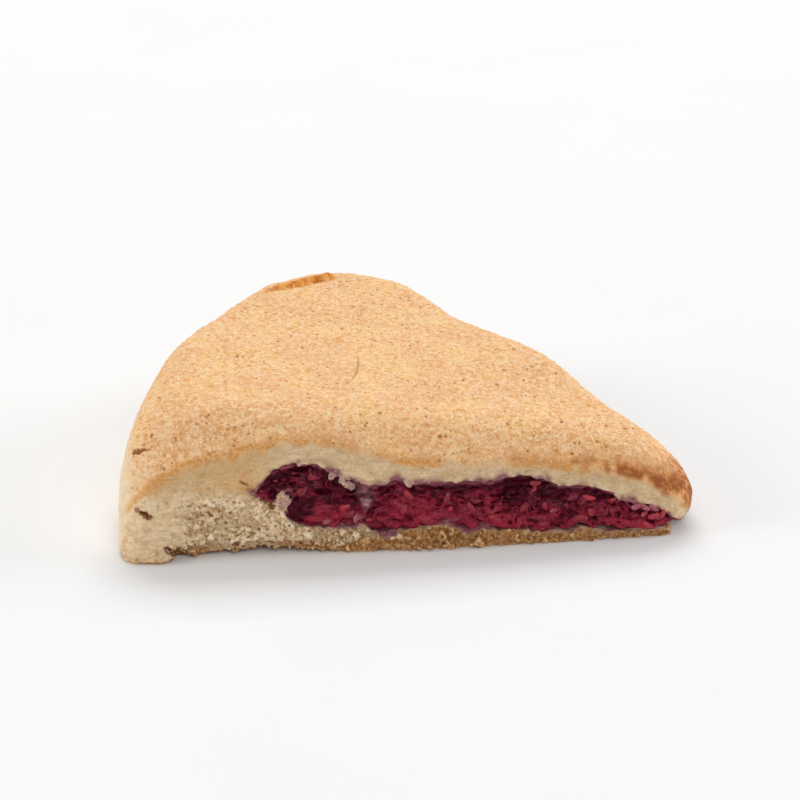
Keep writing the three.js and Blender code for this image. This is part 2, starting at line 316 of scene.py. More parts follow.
def berry_room(x, y, z, q):
    """Signed distance (negative inside) to the room the berries fill; x, y are plan grids, z a column."""
    wf = np.exp(-(np.clip(q["front"], 0, None) / 5.0) ** 2) * (q["f"] >= q["m"])
    wb = np.exp(-(np.clip(q["back"], 0, None) / 5.0) ** 2)
    floor = lerp(q["floor"], np.interp(-x, [t[0] for t in FLOOR_CUT], [t[1] for t in FLOOR_CUT]), wf)
    roof = lerp(q["roof"], np.interp(-x, [t[0] for t in ROOF_CUT], [t[1] for t in ROOF_CUT]), wf)
    o = 0 * x
    ragged = wb * (1 - wf) * np.clip((roof - floor) / 5, 0.2, 1)
    floor = floor + ragged * (0.55 * noise(q["reach"], o, o, 4.2, 60) + 0.35 * noise(q["reach"], o, o, 1.7, 61))
    roof = roof + ragged * (0.75 * noise(q["reach"], o, o, 5.0, 62) + 0.4 * noise(q["reach"], o, o, 1.9, 63))
    mid = (floor + roof) / 2
    close = np.clip((FILL_END - q["r"]) / FILL_PINCH, 0, 1)
    half = (roof - floor) / 2 * lerp(0.4 + 0.6 * np.sqrt(1 - (1 - close) ** 2), 1.0, wf)
    end = q["r"] - (FILL_END + 1.1 * wf) - 0.5 * noise(x, y, o, 2.5, 14)
    d = np.maximum(np.abs(z - mid[:, :, None]) - half[:, :, None], end[:, :, None])
    return d.astype(np.float32), floor, roof


# ---------------------------------------------------------------------------
# Dough
# ---------------------------------------------------------------------------
PITCH = 0.26
G = Grid((-115.2, -6.2, -1.6), (-4.4, 95.2, 30.0), PITCH)
gx, gy = np.meshgrid(G.ax[0], G.ax[1], indexing="ij")
gz = G.ax[2][None, None, :]
Q = plan(gx, gy)

# The crust has split along the rim: beyond the split it stands a little proud.
SPLIT = np.array([(-84.0, 60.0), (-80.8, 63.5), (-75.8, 67.3), (-72.6, 69.7), (-69.3, 72.7), (-66.5, 74.7), (-64.4, 76.8)])


def polyline(px, py, line):
    """Signed distance to a polyline in plan (positive on its left) and the share along it."""
    best = np.full(px.shape, 1e9)
    sign = np.ones(px.shape)
    where = np.zeros(px.shape)
    total = np.linalg.norm(np.diff(line, axis=0), axis=1)
    run = np.concatenate([[0], np.cumsum(total)])
    for i in range(len(line) - 1):
        a, b = line[i], line[i + 1]
        d = b - a
        t = np.clip(((px - a[0]) * d[0] + (py - a[1]) * d[1]) / (d @ d), 0, 1)
        ex, ey = px - (a[0] + t * d[0]), py - (a[1] + t * d[1])
        dist = np.hypot(ex, ey)
        s = np.sign(d[0] * ey - d[1] * ex)
        near = dist < best
        best = np.where(near, dist, best)
        sign = np.where(near, np.where(s == 0, 1, s), sign)
        where = np.where(near, (run[i] + t * total[i]) / run[-1], where)
    return best * sign, where


split_d, split_s = polyline(gx, gy, SPLIT)
split_rise = step(0.02, 0.75, split_s) * step(1.0, 0.93, split_s)
wobble = 0.35 * noise(gx, gy, 0 * gx, 2.2, 5) + 0.2 * noise(gx, gy, 0 * gx, 0.9, 6)
sd_split = split_d + wobble
flap = step(-0.2, 0.2, sd_split) * step(3.6, 0.4, sd_split) * split_rise
groove = np.exp(-((sd_split + 0.5) / 0.55) ** 2) * split_rise * (np.abs(split_d) < 3)
crown = Q["crown"] + 0.92 * flap - 0.30 * groove
crown = crown + 0.20 * noise(gx, gy, 0 * gx, 9.0, 1) + 0.11 * noise(gx, gy, 0 * gx, 4.2, 2)

wave = 0.25 * noise(gx, gy, 0 * gx, 7.0, 3)
low = np.clip(1 - gz / TUCK_HEIGHT, 0, 1) ** 1.5
spread = np.clip(1 - gz / 12.0, 0, 1)
foot_out = Q["f"] * (1.7 + 0.5 * noise(gx, gy, 0 * gx, 12.0, 4) + 3.0 * step(97.0, 107.0, -gx)) * step(2.0, 14.0, Q["r"])
e3 = lerp(Q["edge"][:, :, None], Q["base"][:, :, None], np.clip(spread * 1.6, 0, 1)) + wave[:, :, None]
e3 = e3 - (Q["tuck"] * (1 - 0.8 * Q["f"] * step(8, 20, Q["r"])))[:, :, None] * low + foot_out[:, :, None] * np.clip(1 - gz / 8.5, 0, 1) ** 1.2
e3 = (e3 - (0.55 * Q["m"] * (1 - Q["turn"]))[:, :, None] * np.exp(-((gz - 7.0) / 4.5) ** 2)
      - (0.9 * Q["m"] * step(0.35, 0.0, Q["turn"]))[:, :, None] * np.clip(1 - gz / 6.0, 0, 1) ** 1.5).astype(np.float32)
a = np.clip(1 - e3 / Q["width"][:, :, None].astype(np.float32), 0, 3)
b = np.clip(gz, 0, None) / crown[:, :, None].astype(np.float32)
pw = Q["power"][:, :, None].astype(np.float32)
body = ((a ** pw + b ** pw) ** (1 / pw) - 1).astype(np.float32)
gr = np.gradient(body, PITCH)
norm = np.sqrt(gr[0] ** 2 + gr[1] ** 2 + gr[2] ** 2)
nz = (gr[2] / np.maximum(norm, 1e-6)).astype(np.float32)
body = np.clip(body / np.maximum(norm, 0.01), -3, 3).astype(np.float32)
del gr, norm, a, b
lift = FOOT_LIFT * np.exp(-((gx - FOOT_LIFT_X) / FOOT_LIFT_REACH) ** 2) * (1 - step(0.0, 6.5, Q["front"]))
lift = lift * (1 + 0.25 * noise(gx, gy, 0 * gx, 4.0, 8))
under = (lift[:, :, None] - gz).astype(np.float32)
body = smax(body, under, 0.9)
say("body")

layer, cut_floor, cut_roof = berry_room(gx, gy, gz, Q)
layer = np.clip(layer, -4, 6)
# the nose of the upper crust hangs free over the table, past the end of the lower layer
nose = np.interp(Q["r"], [8, 9.5, 10.7, 12.4], [1.25, 1.35, 1.8, 3.2]) + 0.2 * noise(gx, gy, 0 * gx, 1.5, 64)
nose = np.maximum(gz - nose[:, :, None], (Q["r"] - 13.1 - 0.5 * noise(gx, gy, 0 * gx, 1.3, 65))[:, :, None]).astype(np.float32)
body = smax(body, -nose, 0.5)
del nose

# how strongly each carved hollow darkens the surface: painted shade in the crumb's pores, notches and gaps, toasted
# brown in the crust's pits and cracks
dark = np.zeros(G.n, dtype=np.float32)
field = body.copy()
band = np.abs(body) < 1.9
I = np.nonzero(band)
bx, by, bz = G.ax[0][I[0]].astype(np.float32), G.ax[1][I[1]].astype(np.float32), G.ax[2][I[2]].astype(np.float32)


def at(arr):
    return arr[I[0], I[1]].astype(np.float32)


bnz, blayer = nz[I], layer[I]
f_, b_, m_ = at(Q["f"]), at(Q["b"]), at(Q["m"])
roof_, floor_, r_ = at(cut_roof), at(cut_floor), at(Q["r"])
top = step(0.2, 0.6, bnz)
side = 1 - top
cut = side * (f_ + b_)
crustline = np.where(f_ >= b_, along(CRUST_FRONT, -bx), along(CRUST_BACK, at(Q["reach"]))).astype(np.float32)
golden = step(-1.0, 1.2, bz - crustline) * (f_ + b_) + m_
lower = step(0.9, -0.5, bz - floor_) * cut
crumbly = np.maximum(cut * step(80, 90, r_ + 0.6 * (bz - 8)) * step(13.0, 7.2, bz + 0.9 * noise(bx, by, bz, 3.0, 9)) * step(107, 95, r_), lower)


def local(weight, scale, seed, stretch=(1, 1, 1)):
    """weight times noise, worked out only where it counts."""
    out = np.zeros_like(bx)
    k = np.nonzero(np.abs(weight) > 0.004)[0]
    out[k] = weight[k] * noise(bx[k], by[k], bz[k], scale, seed, stretch)
    return out


def lumps(weight, scale, seed, stretch=(1, 1, 1)):
    out = np.zeros_like(bx)
    k = np.nonzero(np.abs(weight) > 0.004)[0]
    out[k] = weight[k] * np.abs(noise(bx[k], by[k], bz[k], scale, seed, stretch))
    return out


plain = cut * (1 - golden) * (1 - crumbly)
calm = 0.3 + 0.7 * step(0.1, 1.6, bz - at(lift))        # the edge over the table is less ragged
coarse = crumbly * (1 - 0.45 * step(76, 66, r_) * lower)
disp = (0.12 * noise(bx, by, bz, 7.5, 20) + 0.06 * noise(bx, by, bz, 3.2, 21)
        + local(0.07 * top + 0.07 * side * m_ + 0.12 * plain + 0.06 * cut * golden, 1.7, 22)
        + lumps(0.15 * top + 0.08 * cut * golden, 1.1, 16) + lumps(0.14 * top + 0.07 * cut * golden, 0.75, 17) - 0.08 * top
        + local(0.05 * top + 0.06 * side * m_ + 0.11 * plain + 0.06 * cut * golden, 0.95, 23)
        + local(0.06 * top + 0.03 * side * m_ + 0.04 * plain + 0.15 * crumbly + 0.05 * cut * golden, 0.6, 24)
        + local(0.09 * plain, 0.85, 25, (4, 4, 1)) + local(0.06 * plain, 0.5, 26, (2, 2, 1))
        + local(0.5 * crumbly * calm, 3.2, 27, (1.5, 1.5, 0.8)) + lumps(0.62 * coarse ** 1.5 * calm, 1.3, 18, (1.5, 1.5, 0.8)) + lumps(0.85 * crumbly ** 1.5 * calm, 0.8, 19, (1.3, 1.3, 0.85)) - 0.42 * crumbly ** 1.5 * calm)
ragged_foot = step(2.8, 0.4, bz) * side
disp = disp + local(0.24 * ragged_foot, 1.5, 28) + local(0.16 * ragged_foot, 0.8, 29)
field[I] = body[I] - disp
del disp
say("displaced")

# cut the berry layer out of it, raggedly where the knife and the fruit have torn it
torn = np.nonzero((np.abs(layer) < 1.8) & (body < 1.5) & (body > -4.5))
tx, ty, tz = (G.ax[i][torn[i]].astype(np.float32) for i in range(3))
fade = step(-4.5, -1.5, body[torn])
layer[torn] += fade * (0.34 * noise(tx, ty, tz, 2.1, 70) + 0.28 * noise(tx, ty, tz, 1.05, 71) + 0.16 * noise(tx, ty, tz, 0.6, 72))
field = smax(field, -layer, 0.3)
del torn, tx, ty, tz, fade
say("layer cut")


def first_inside(column):
    """Index of the first sample inside along axis 1 (from the front), or -1."""
    inside = column < 0
    return np.where(inside.any(axis=1), inside.argmax(axis=1), -1)


front_hit = first_inside(body)                       # [ix, iz] -> iy
top_hit = body.shape[2] - 1 - (body[:, :, ::-1] < 0).argmax(axis=2)
top_any = (body < 0).any(axis=2)


def front_point(x, z):
    i = int(round((x - G.lo[0]) / G.h))
    k = int(round((z - G.lo[2]) / G.h))
    if not (0 <= i < G.n[0] and 0 <= k < G.n[2]) or front_hit[i, k] < 0:
        return None
    return np.array([x, G.ax[1][front_hit[i, k]] - 0.5 * G.h, z])


def top_point(x, y):
    i = int(round((x - G.lo[0]) / G.h))
    j = int(round((y - G.lo[1]) / G.h))
    if not (0 <= i < G.n[0] and 0 <= j < G.n[1]) or not top_any[i, j]:
        return None
    return np.array([x, y, G.ax[2][top_hit[i, j]] + 0.5 * G.h])


def on_front(c):
    """The same point, its y counted inward from the front cut's surface."""
    p = front_point(c[0], max(c[2], 0.6))
    return np.array([c[0], c[1] + (p[1] if p is not None else 0.0), c[2]])


BACK_DIR = np.array([-math.cos(PHI), math.sin(PHI), 0.0])       # along the back cut, from the vertex
BACK_OUT = np.array([math.sin(PHI), math.cos(PHI), 0.0])        # outward from the back cut


def back_point(s, z):
    """Surface point of the back cut face at a distance along it and a height."""
    base = BACK_DIR * s + np.array([0, 0, z])
    t = np.arange(3.0, -16.0, -0.2)
    p = base[None, :] + BACK_OUT[None, :] * t[:, None]
    v = G.sample(body, p)
    hit = np.nonzero(v < 0)[0]
    return None if len(hit) == 0 or hit[0] == 0 else p[hit[0]]


r1 = np.random.default_rng(21)

FC, RC, CC = (([t[0] for t in tab], [t[1] for t in tab]) for tab in (FLOOR_CUT, ROOF_CUT, CRUST_FRONT))


def edges(side, s):
    """Height of the berry layer's floor and roof and of the crust's lower edge on a cut face."""
    if side == "front":
        return np.interp(s, *FC), np.interp(s, *RC), np.interp(s, *CC)
    return float(along(FLOOR_BACK, s)), float(along(ROOF_BACK, s)), float(along(CRUST_BACK, s))


def cut_point(side, s, z):
    return front_point(-s, z) if side == "front" else back_point(s, z)


# crumbs of the lower layer and of the open crumb
for k in range(1300):
    side = "front" if k % 5 < 3 else "back"
    s = r1.uniform(12.2, 108)
    e = edges(side, s)
    z = r1.uniform(0.3, e[0] + 0.25)
    if s > 84:
        z = r1.uniform(0.25, 3.0)
    if r1.random() < 0.2:
        s, z = r1.uniform(82, 105), r1.uniform(1, 12)
    if z < 0.6 + FOOT_LIFT * 1.1 * math.exp(-((s + FOOT_LIFT_X) / FOOT_LIFT_REACH) ** 2):
        continue
    p = cut_point(side, s, z)
    if p is None:
        continue
    size = r1.uniform(0.26, 0.55)
    out = np.array([0, -1, 0]) if side == "front" else BACK_OUT
    ax = spin(r1)
    blob(G, field, p + out * r1.uniform(-0.35, 0.18), (size * r1.uniform(1, 1.6), size, size * 0.8), 0.06, ax)
say("crumbs")

# pores of the open crumb and of the lower layer, with painted shade darkening them
for k in range(5200):
    side = "front" if k % 5 < 3 else "back"
    zone = r1.random()
    if zone < 0.42:
        s, z = 93.0 + 6.0 * r1.normal(), 5.4 + 3.2 * r1.normal()
        if not (78 < s < 101 and 0.4 < z < 9.8) or (s < 84.5 and z > 7.5) or r1.random() < 0.3:
            continue
        size = r1.uniform(0.14, 0.32) if r1.random() < 0.94 else r1.uniform(0.32, 0.5)
    elif zone < 0.86:
        s = r1.uniform(13, 103)
        z = r1.uniform(0.2, float(edges(side, s)[0]) + 0.5 if s < 78 else 2.4)
        size = r1.uniform(0.22, 0.5)
    else:
        s = r1.uniform(20, 108)
        e = edges(side, s)
        z = r1.uniform(e[1] + 0.5, max(e[2], e[1] + 1)) if s < 90 else r1.uniform(5, e[2])
        if r1.random() < 0.55:
            continue
        size = r1.uniform(0.12, 0.2)
    p = cut_point(side, s, z)
    if p is None:
        continue
    ax = spin(r1)
    ax[:, 2] *= 1.0
    blob(G, field, p, (size * r1.uniform(1.0, 1.9), size, size * r1.uniform(0.7, 1.0)), 0.1, ax, True, dark, 0.4 if zone < 0.42 else (0.6 if zone < 0.86 else 0.3))
say("pores")

# dough that hangs over, or is caught in, the fruit
BITS = [((-68.5, 0.25, 9.4), (0.75, 0.6, 0.7)), ((-68.3, 0.25, 8.5), (0.8, 0.6, 0.8)), ((-68.6, 0.35, 7.7), (0.6, 0.5, 0.5)), ((-67.8, 0.3, 9.0), (0.5, 0.4, 0.6)),
        ((-72.6, 0.1, 12.9), (0.7, 0.6, 0.5)), ((-71.6, 0.1, 12.2), (0.8, 0.6, 0.7)), ((-70.8, 0.0, 11.7), (0.55, 0.6, 0.5)), ((-74.4, 0.1, 13.5), (0.6, 0.6, 0.6)),
        ((-83.6, -0.2, 10.4), (0.75, 0.7, 0.5)), ((-82.8, -0.2, 9.9), (0.8, 0.7, 0.5)), ((-84.3, -0.1, 9.4), (0.8, 0.8, 0.55)), ((-83.1, -0.3, 9.0), (0.7, 0.7, 0.45)), ((-82.2, -0.1, 9.4), (0.5, 0.6, 0.4)),
        ((-60.6, 0.1, 11.7), (0.7, 0.6, 0.4)), ((-53.6, -0.1, 4.6), (1.2, 0.7, 0.6)), ((-47.4, -0.3, 4.0), (0.8, 0.7, 0.5)), ((-46.4, -0.3, 3.6), (0.7, 0.6, 0.4)), ((-48.2, -0.4, 1.2), (0.8, 0.7, 0.6)), ((-47.6, -0.5, 0.7), (0.6, 0.6, 0.5))]
BITS = [(on_front(c), rad) for c, rad in BITS]
for c, rad in BITS:
    blob(G, field, c + np.array([0, 0.25, 0]), rad, 0.5, spin(r1))
    for _ in range(5):
        d = r1.normal(size=3) * np.array(rad) * 0.6
        g = r1.uniform(0.22, 0.36)
        blob(G, field, np.array(c) + d, (g * 1.5, g, g * 0.8), 0.08, spin(r1))
# the gap beside the caught dough, with painted shade darkening it
for c, rad in [((-86.0, 0.0, 10.2), (1.3, 1.2, 0.8)), ((-85.3, 0.1, 9.0), (0.5, 0.8, 0.8)), ((-87.2, 0.0, 11.0), (0.7, 0.9, 0.5))]:
    blob(G, field, on_front(c), rad, 0.2, None, True, dark, 0.9)

# tiny pits baked into the crust
for _ in range(420):
    r, t = 112 * math.sqrt(r1.uniform(0.01, 1)), r1.uniform(0.0, 1.0) * PHI
    x, y = -r * math.cos(t), r * math.sin(t)
    p = top_point(x, y)
    if p is None:
        continue
    if y > 12 and r1.random() < 0.5:
        continue
    size = r1.uniform(0.13, 0.22) if r1.random() < 0.9 else r1.uniform(0.22, 0.30)
    ax = spin(r1)
    blob(G, field, p, (size * r1.uniform(1, 1.8), size, size * 1.4), 0.06, ax, True, dark, r1.uniform(0.1, 0.7))


def crack(points, width, depth, strength=1.0):
    pts = [np.array(p, float) for p in points]
    for p, q in zip(pts[:-1], pts[1:]):
        n = max(2, int(np.linalg.norm(q - p) / 0.22))
        for t in np.linspace(0, 1, n):
            c = p + (q - p) * t + r1.normal(size=3) * 0.06
            g = width * r1.uniform(0.75, 1.25)
            blob(G, field, c, (g, g, depth), 0.06, None, True, dark, strength)


def top_line(xy):
    return [p for p in (top_point(x, y) for x, y in xy) if p is not None]


crack(top_line([(-69.2, 21.3), (-67.9, 23.0), (-66.7, 26.4), (-65.9, 30.0), (-65.4, 34.1), (-65.5, 36.8)]), 0.15, 0.4, 0.6)
crack([(-109.3, 7.0, 17.8), (-108.9, 6.6, 18.0), (-108.2, 5.9, 18.3), (-107.6, 5.6, 18.6)], 0.27, 0.6, 1.0)
crack([(-107.6, 5.6, 18.6), (-107.0, 5.2, 18.8), (-106.5, 5.0, 19.0)], 0.22, 0.3, 0.7)
crack([(-92.5, 4.6, 20.3), (-92.1, 3.8, 19.0), (-92.0, 3.2, 18.1)], 0.14, 0.2, 0.5)
crack([(-91.6, 2.6, 16.7), (-90.0, 2.5, 16.5), (-88.9, 2.4, 16.4)], 0.13, 0.13, 0.4)
crack([(-90.9, 1.4, 13.5), (-90.3, 1.3, 13.1), (-89.6, 1.2, 12.7)], 0.2, 0.22, 0.8)
crack([(-103.0, 1.2, 12.8), (-102.2, 1.15, 12.7), (-101.5, 1.1, 12.6)], 0.13, 0.13, 0.5)
# cracks and notches low on the front cut, carved, with painted shade darkening them
for c, rad in [((-109.2, 0.0, 8.75), (0.4, 0.4, 0.14)), ((-108.7, 0.0, 8.4), (0.35, 0.7, 0.22)), ((-108.2, 0.0, 8.15), (0.4, 1.0, 0.34)), ((-107.7, 0.0, 7.9), (0.42, 1.1, 0.38)), ((-107.3, 0.0, 7.7), (0.3, 0.8, 0.26)),
               ((-104.5, 0.1, 2.5), (0.45, 0.9, 0.36)), ((-104.0, 0.1, 2.2), (0.45, 1.0, 0.36)), ((-103.4, 0.1, 1.8), (0.45, 1.3, 0.45)), ((-102.6, 0.2, 1.5), (0.9, 2.2, 0.8)), ((-102.0, 0.2, 0.6), (1.5, 2.6, 1.0)), ((-101.2, 0.2, 0.3), (1.3, 2.2, 0.7)),
               ((-100.9, 0.2, 1.8), (0.45, 0.8, 0.45)), ((-96.6, 0.1, 2.3), (0.4, 0.7, 0.4)), ((-92.0, 0.1, 1.9), (0.5, 0.6, 0.35))]:
    blob(G, field, on_front(c), rad, 0.12, None, True, dark, 0.9)
    for _ in range(6):
        d = r1.normal(size=3) * np.array(rad) * (0.6, 0.3, 0.6)
        g = r1.uniform(0.14, 0.3)
        blob(G, field, on_front(np.array(c) + d), (g * 1.3, g * 2, g), 0.08, spin(r1), r1.random() < 0.65, dark, 0.7)
# short breaks in the crust, most of them near the front
for _ in range(70):
    r, t = 111 * math.sqrt(r1.uniform(0.02, 1)), r1.uniform(0.0, 1.0) * PHI
    x, y = -r * math.cos(t), r * math.sin(t)
    if y > 16 and r1.random() < 0.55:
        continue
    a0, n = r1.uniform(0, 2 * math.pi), r1.integers(2, 5)
    line = [(x, y)]
    for _ in range(n):
        a0 += r1.normal() * 0.7
        line.append((line[-1][0] + 0.45 * math.cos(a0), line[-1][1] + 0.45 * math.sin(a0)))
    crack(top_line(line), r1.uniform(0.10, 0.16), r1.uniform(0.25, 0.4), r1.uniform(0.3, 0.7))
# a few specks of dark crust seen on the front shoulder
for c in [(-64.5, 8.6), (-53.1, 4.0), (-54.2, 4.0), (-48.5, 23.3), (-30.2, 2.1), (-29.5, 3.6), (-23.6, 3.6), (-19.0, 9.3), (-25.2, 4.2)]:
    p = top_point(*c)
    if p is not None:
        blob(G, field, p, (0.4, 0.24, 0.28), 0.1, spin(r1), True, dark, 0.8)
say("pores, clumps and cracks")

field = np.maximum(field, -(gz + 0.0)).astype(np.float32)        # nothing below the table
# a light blur removes what the grid can't hold
for axis in range(3):
    field = 0.09 * (np.roll(field, 1, axis) + np.roll(field, -1, axis)) + 0.82 * field
field[0], field[-1], field[:, 0], field[:, -1], field[:, :, 0], field[:, :, -1] = 3, 3, 3, 3, 3, 3
pts, quads = mesh_volume(G, field)
say(f"dough mesh {len(pts)} vertices, {len(quads)} quads")
nrm = vertex_normals(pts, quads)
if (nrm[np.argmax(pts[:, 2])][2]) < 0:
    quads = quads[:, ::-1]
    nrm = -nrm

def hollowness(pts, quads, nrm, pitch):
    """How far each vertex lies below the average of its neighbours, in grid steps."""
    centre = pts[quads].mean(axis=1)
    total, count = np.zeros_like(pts), np.zeros(len(pts))
    for k in range(4):
        np.add.at(total, quads[:, k], centre)
        np.add.at(count, quads[:, k], 1)
    c = ((total / count[:, None] - pts) * nrm).sum(1) / pitch
    face = c[quads].mean(axis=1)
    total, count = np.zeros(len(pts)), np.zeros(len(pts))
    for k in range(4):
        np.add.at(total, quads[:, k], face)
        np.add.at(count, quads[:, k], 1)
    return 0.5 * c + 0.5 * total / count


def on_plan(arr, pts):
    i = np.clip(np.round((pts[:, 0] - G.lo[0]) / G.h).astype(int), 0, G.n[0] - 1)
    j = np.clip(np.round((pts[:, 1] - G.lo[1]) / G.h).astype(int), 0, G.n[1] - 1)
    return arr[i, j]


# the hollowness drives painted shade in hollows and painted highlight on ridges in the materials
cav = hollowness(pts, quads, nrm, G.h)
V = plan(pts[:, 0], pts[:, 1])
x, y, z = pts.T
vfloor, vroof = on_plan(cut_floor, pts), on_plan(cut_roof, pts)
vn = [noise(x, y, z, s, 30 + i) for i, s in enumerate((9.0, 3.0, 1.2, 0.6))]
onf = V["f"] / np.maximum(V["f"] + V["b"], 1e-6)
line = lerp(along(CRUST_BACK, V["reach"]), along(CRUST_FRONT, -x), onf)
height = z - line + 0.40 * vn[1] + 0.35 * vn[2] + 0.15 * vn[3]
steep = 1 - step(0.25, 0.6, nrm[:, 2])
cutting = np.clip((V["f"] + V["b"]) * 1.3, 0, 1)
d_layer = G.sample(layer, pts)
inner = step(0.25, -0.35, d_layer)                                     # walls of the berry layer
crust = lerp(1.0, step(-1.3, 1.1, height), cutting) * (1 - inner)
# painted shade: a darker tan band just under the crust's lower edge on the cut faces, where the overhanging crust
# shades the crumb
shade = step(0.6, -0.6, height) * step(-4.4, -2.3, height + 0.5 * vn[1]) * cutting * (1 - inner)
rimside = np.clip(V["m"] * 1.7 - 0.15, 0, 1) * step(25.0, 14.0, z + 1.5 * vn[0] - 3 * (1 - V["turn"])) * steep
corner = np.exp(-((V["front"] - V["rim"] + 0.6 + 0.4 * vn[1]) / 1.5) ** 2) * (V["rim"] < 10) * step(16.0, 12.0, z) * step(0.0, 0.6, z)
below = step(0.35, 0.8, -nrm[:, 2]) * (1 - inner) * step(2.6, 1.2, z)
rag = 0.55 * vn[1] + 0.5 * vn[2] + 0.25 * vn[3]
thin = lerp(lerp(np.minimum(vfloor * 0.94, 4.4), 1.7, step(58, 76, V["r"])), 0.7, step(99, 105, V["r"]))                  # how high the darker lower layer reaches
lower_v = step(0.7, -0.8, z - thin + rag) * (1 - inner)
lower_v = lower_v * lerp(1.0, 0.75 * step(1.9, 0.5, z), V["m"] * (V["r"] > 40))
foot = np.maximum(below, lower_v)
# browning: along the crust's lower edge, round the pointed end, at the left corner and in patches
band = np.exp(-((height - 1.1) / 1.25) ** 2) * cutting
left = step(97, 104, -x) * onf
toast = (0.17 + 0.16 * vn[0] + 0.13 * vn[1]
         + 0.30 * band * (0.62 + 0.45 * vn[1] + 0.4 * vn[2] + 0.9 * step(44, 20, V["r"]) + 0.3 * left)
         + 0.60 * step(46, 15, V["r"]) * np.exp(-((height - 1.2) / 2.4) ** 2) * onf * (0.85 + 0.45 * vn[1] + 0.5 * vn[2] + 0.3 * vn[3])
         + 0.95 * step(19, 6, V["r"]) * (0.9 + 0.45 * vn[1] + 0.5 * vn[2] + 0.3 * vn[3]) * step(-3.4, 1.4, height)
         + 0.25 * step(0.3, 0.9, V["m"]) * cutting * step(4, 12, z))
toast = np.clip(toast, 0, 1.3)
bit = np.zeros(len(pts))
for c, rad in BITS[:14]:
    k = np.nonzero(np.abs(x - c[0]) < 3)[0]
    q = ((pts[k] - c) ** 2).sum(1) / (max(rad) * 1.2) ** 2
    bit[k] = np.maximum(bit[k], step(2.2, 1.0, q))
inner = inner * (1 - bit)
above = z > (vfloor + vroof) / 2
stain = np.exp(-np.clip(d_layer - 0.1, 0, 9) / np.where(above, 0.75, 0.6)) * (0.8 + 0.6 * vn[1] + 0.4 * vn[2])
stain = stain + 0.5 * np.exp(-np.clip(d_layer, 0, 9) / 1.6) * step(0.25, 0.7, vn[0] + vn[1])
stain = np.where(above, stain, stain * 0.75)
stain = np.clip(np.maximum(stain * (1 - bit), inner), 0, 1)
sdv, ssv = polyline(x, y, SPLIT)
wall_gold = np.exp(-((sdv - 0.25) / 0.8) ** 2) * step(0.02, 0.5, ssv) * step(1.0, 0.94, ssv) * step(18, 22, z) * (np.abs(sdv) < 3)
pit = np.clip(G.sample(dark, pts), 0, 1)

ochre = (np.exp(-((height - 0.1) / np.where(height < 0.1, 0.75, 1.0)) ** 2) * cutting * (0.72 + 0.3 * vn[1] + 0.3 * vn[2]) * (1 - inner) + 0.42 * corner * (0.8 + 0.5 * vn[1]) * np.maximum(step(10.5, 12.5, z), 0.55 + 0.45 * step(5.0, 3.0, z)))
wob = 1.3 * vn[1] + 0.9 * vn[2]
ochre = ochre + 0.86 * step(79, 90, -x) * onf * cutting * step(9.5, 13.0, z + vn[1]) * (1 - step(-1, 1, height)) * (1 + 0.4 * vn[0])
openness = (cutting * (1 - inner) * np.maximum(step(79, 88, V["r"] + 0.6 * (z - 8) + wob), step(58, 74, V["r"] + wob) * step(0.4, -0.4, z - vfloor) * (V["r"] < 84))
            * step(12.8, 8.2, z + wob) * step(107, 96, V["r"] + wob) * (1 - step(-1, 1, height)))
layers = dict(crust=crust, toast=toast, stain=stain, pit=pit, foot=foot, rimside=np.clip(rimside, 0, 1),
              split=np.clip(wall_gold, 0, 1), inner=inner, cav=np.clip(0.5 + 2.0 * cav, 0, 1),
              open=openness, ochre=np.clip(ochre, 0, 1), shade=shade, bit=bit, front=onf * cutting)
dough = make_object("scone_dough_baked", pts, quads, layers=layers)
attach(dough, "root")
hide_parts("scone_dough")
say("dough object")

# ---------------------------------------------------------------------------
# Cooked raspberries
# ---------------------------------------------------------------------------
P2 = 0.2
B = Grid((-90.0, -4.2, 0.3), (-5.4, 79.2, 17.7), P2)
hx, hy = np.meshgrid(B.ax[0], B.ax[1], indexing="ij")
hz = B.ax[2][None, None, :]
K = plan(hx, hy)
room, floor2, roof2 = berry_room(hx, hy, hz, K)
low2 = np.clip(1 - hz / TUCK_HEIGHT, 0, 1) ** 1.5
inset = (K["edge"][:, :, None] - K["tuck"][:, :, None] * low2).astype(np.float32)
# inset of the real surface at this height: the dome leans in above the foot
lean = K["width"][:, :, None] * (1 - np.clip(1 - (np.clip(hz, 0, None) / K["crown"][:, :, None]) ** K["power"][:, :, None], 0, 1)
                                 ** (1 / K["power"][:, :, None]))
depth = (inset - lean).astype(np.float32)          # how far behind the cut face
X3 = np.broadcast_to(hx[:, :, None], B.n)
Y3 = np.broadcast_to(hy[:, :, None], B.n)
Z3 = np.broadcast_to(hz, B.n)
near = (depth < 4.5) & (depth > -2.5) & (room < 2.0)
J = np.nonzero(near)
jx, jy, jz = B.ax[0][J[0]].astype(np.float32), B.ax[1][J[1]].astype(np.float32), B.ax[2][J[2]].astype(np.float32)
need = np.full(B.n, 0.7, dtype=np.float32)
need[J] = (0.62 + 0.45 * noise(jx, jy, jz, 3.4, 40, stretch=(1.6, 1.6, 0.8)) + 0.28 * noise(jx, jy, jz, 1.5, 41)
           + 0.14 * noise(jx, jy, jz, 0.8, 42))
grow = 0.28 * step(5.0, 2.5, depth)                # close to the cuts the fruit clings to the dough
berry = np.maximum(room - grow, need - depth).astype(np.float32)
say("berry base")

r2 = np.random.default_rng(77)


def face_point(side, s, z, d):
    """A point d behind the cut face, at distance s along it from the vertex and height z."""
    if side == "front":
        p = front_point(-s, z)
        return None if p is None else p + np.array([0, d, 0])
    p = back_point(s, z)
    return None if p is None else p - BACK_OUT * d


drupes = []
tone_field = np.zeros(B.n, dtype=np.float32)
pale_field = np.zeros(B.n, dtype=np.float32)


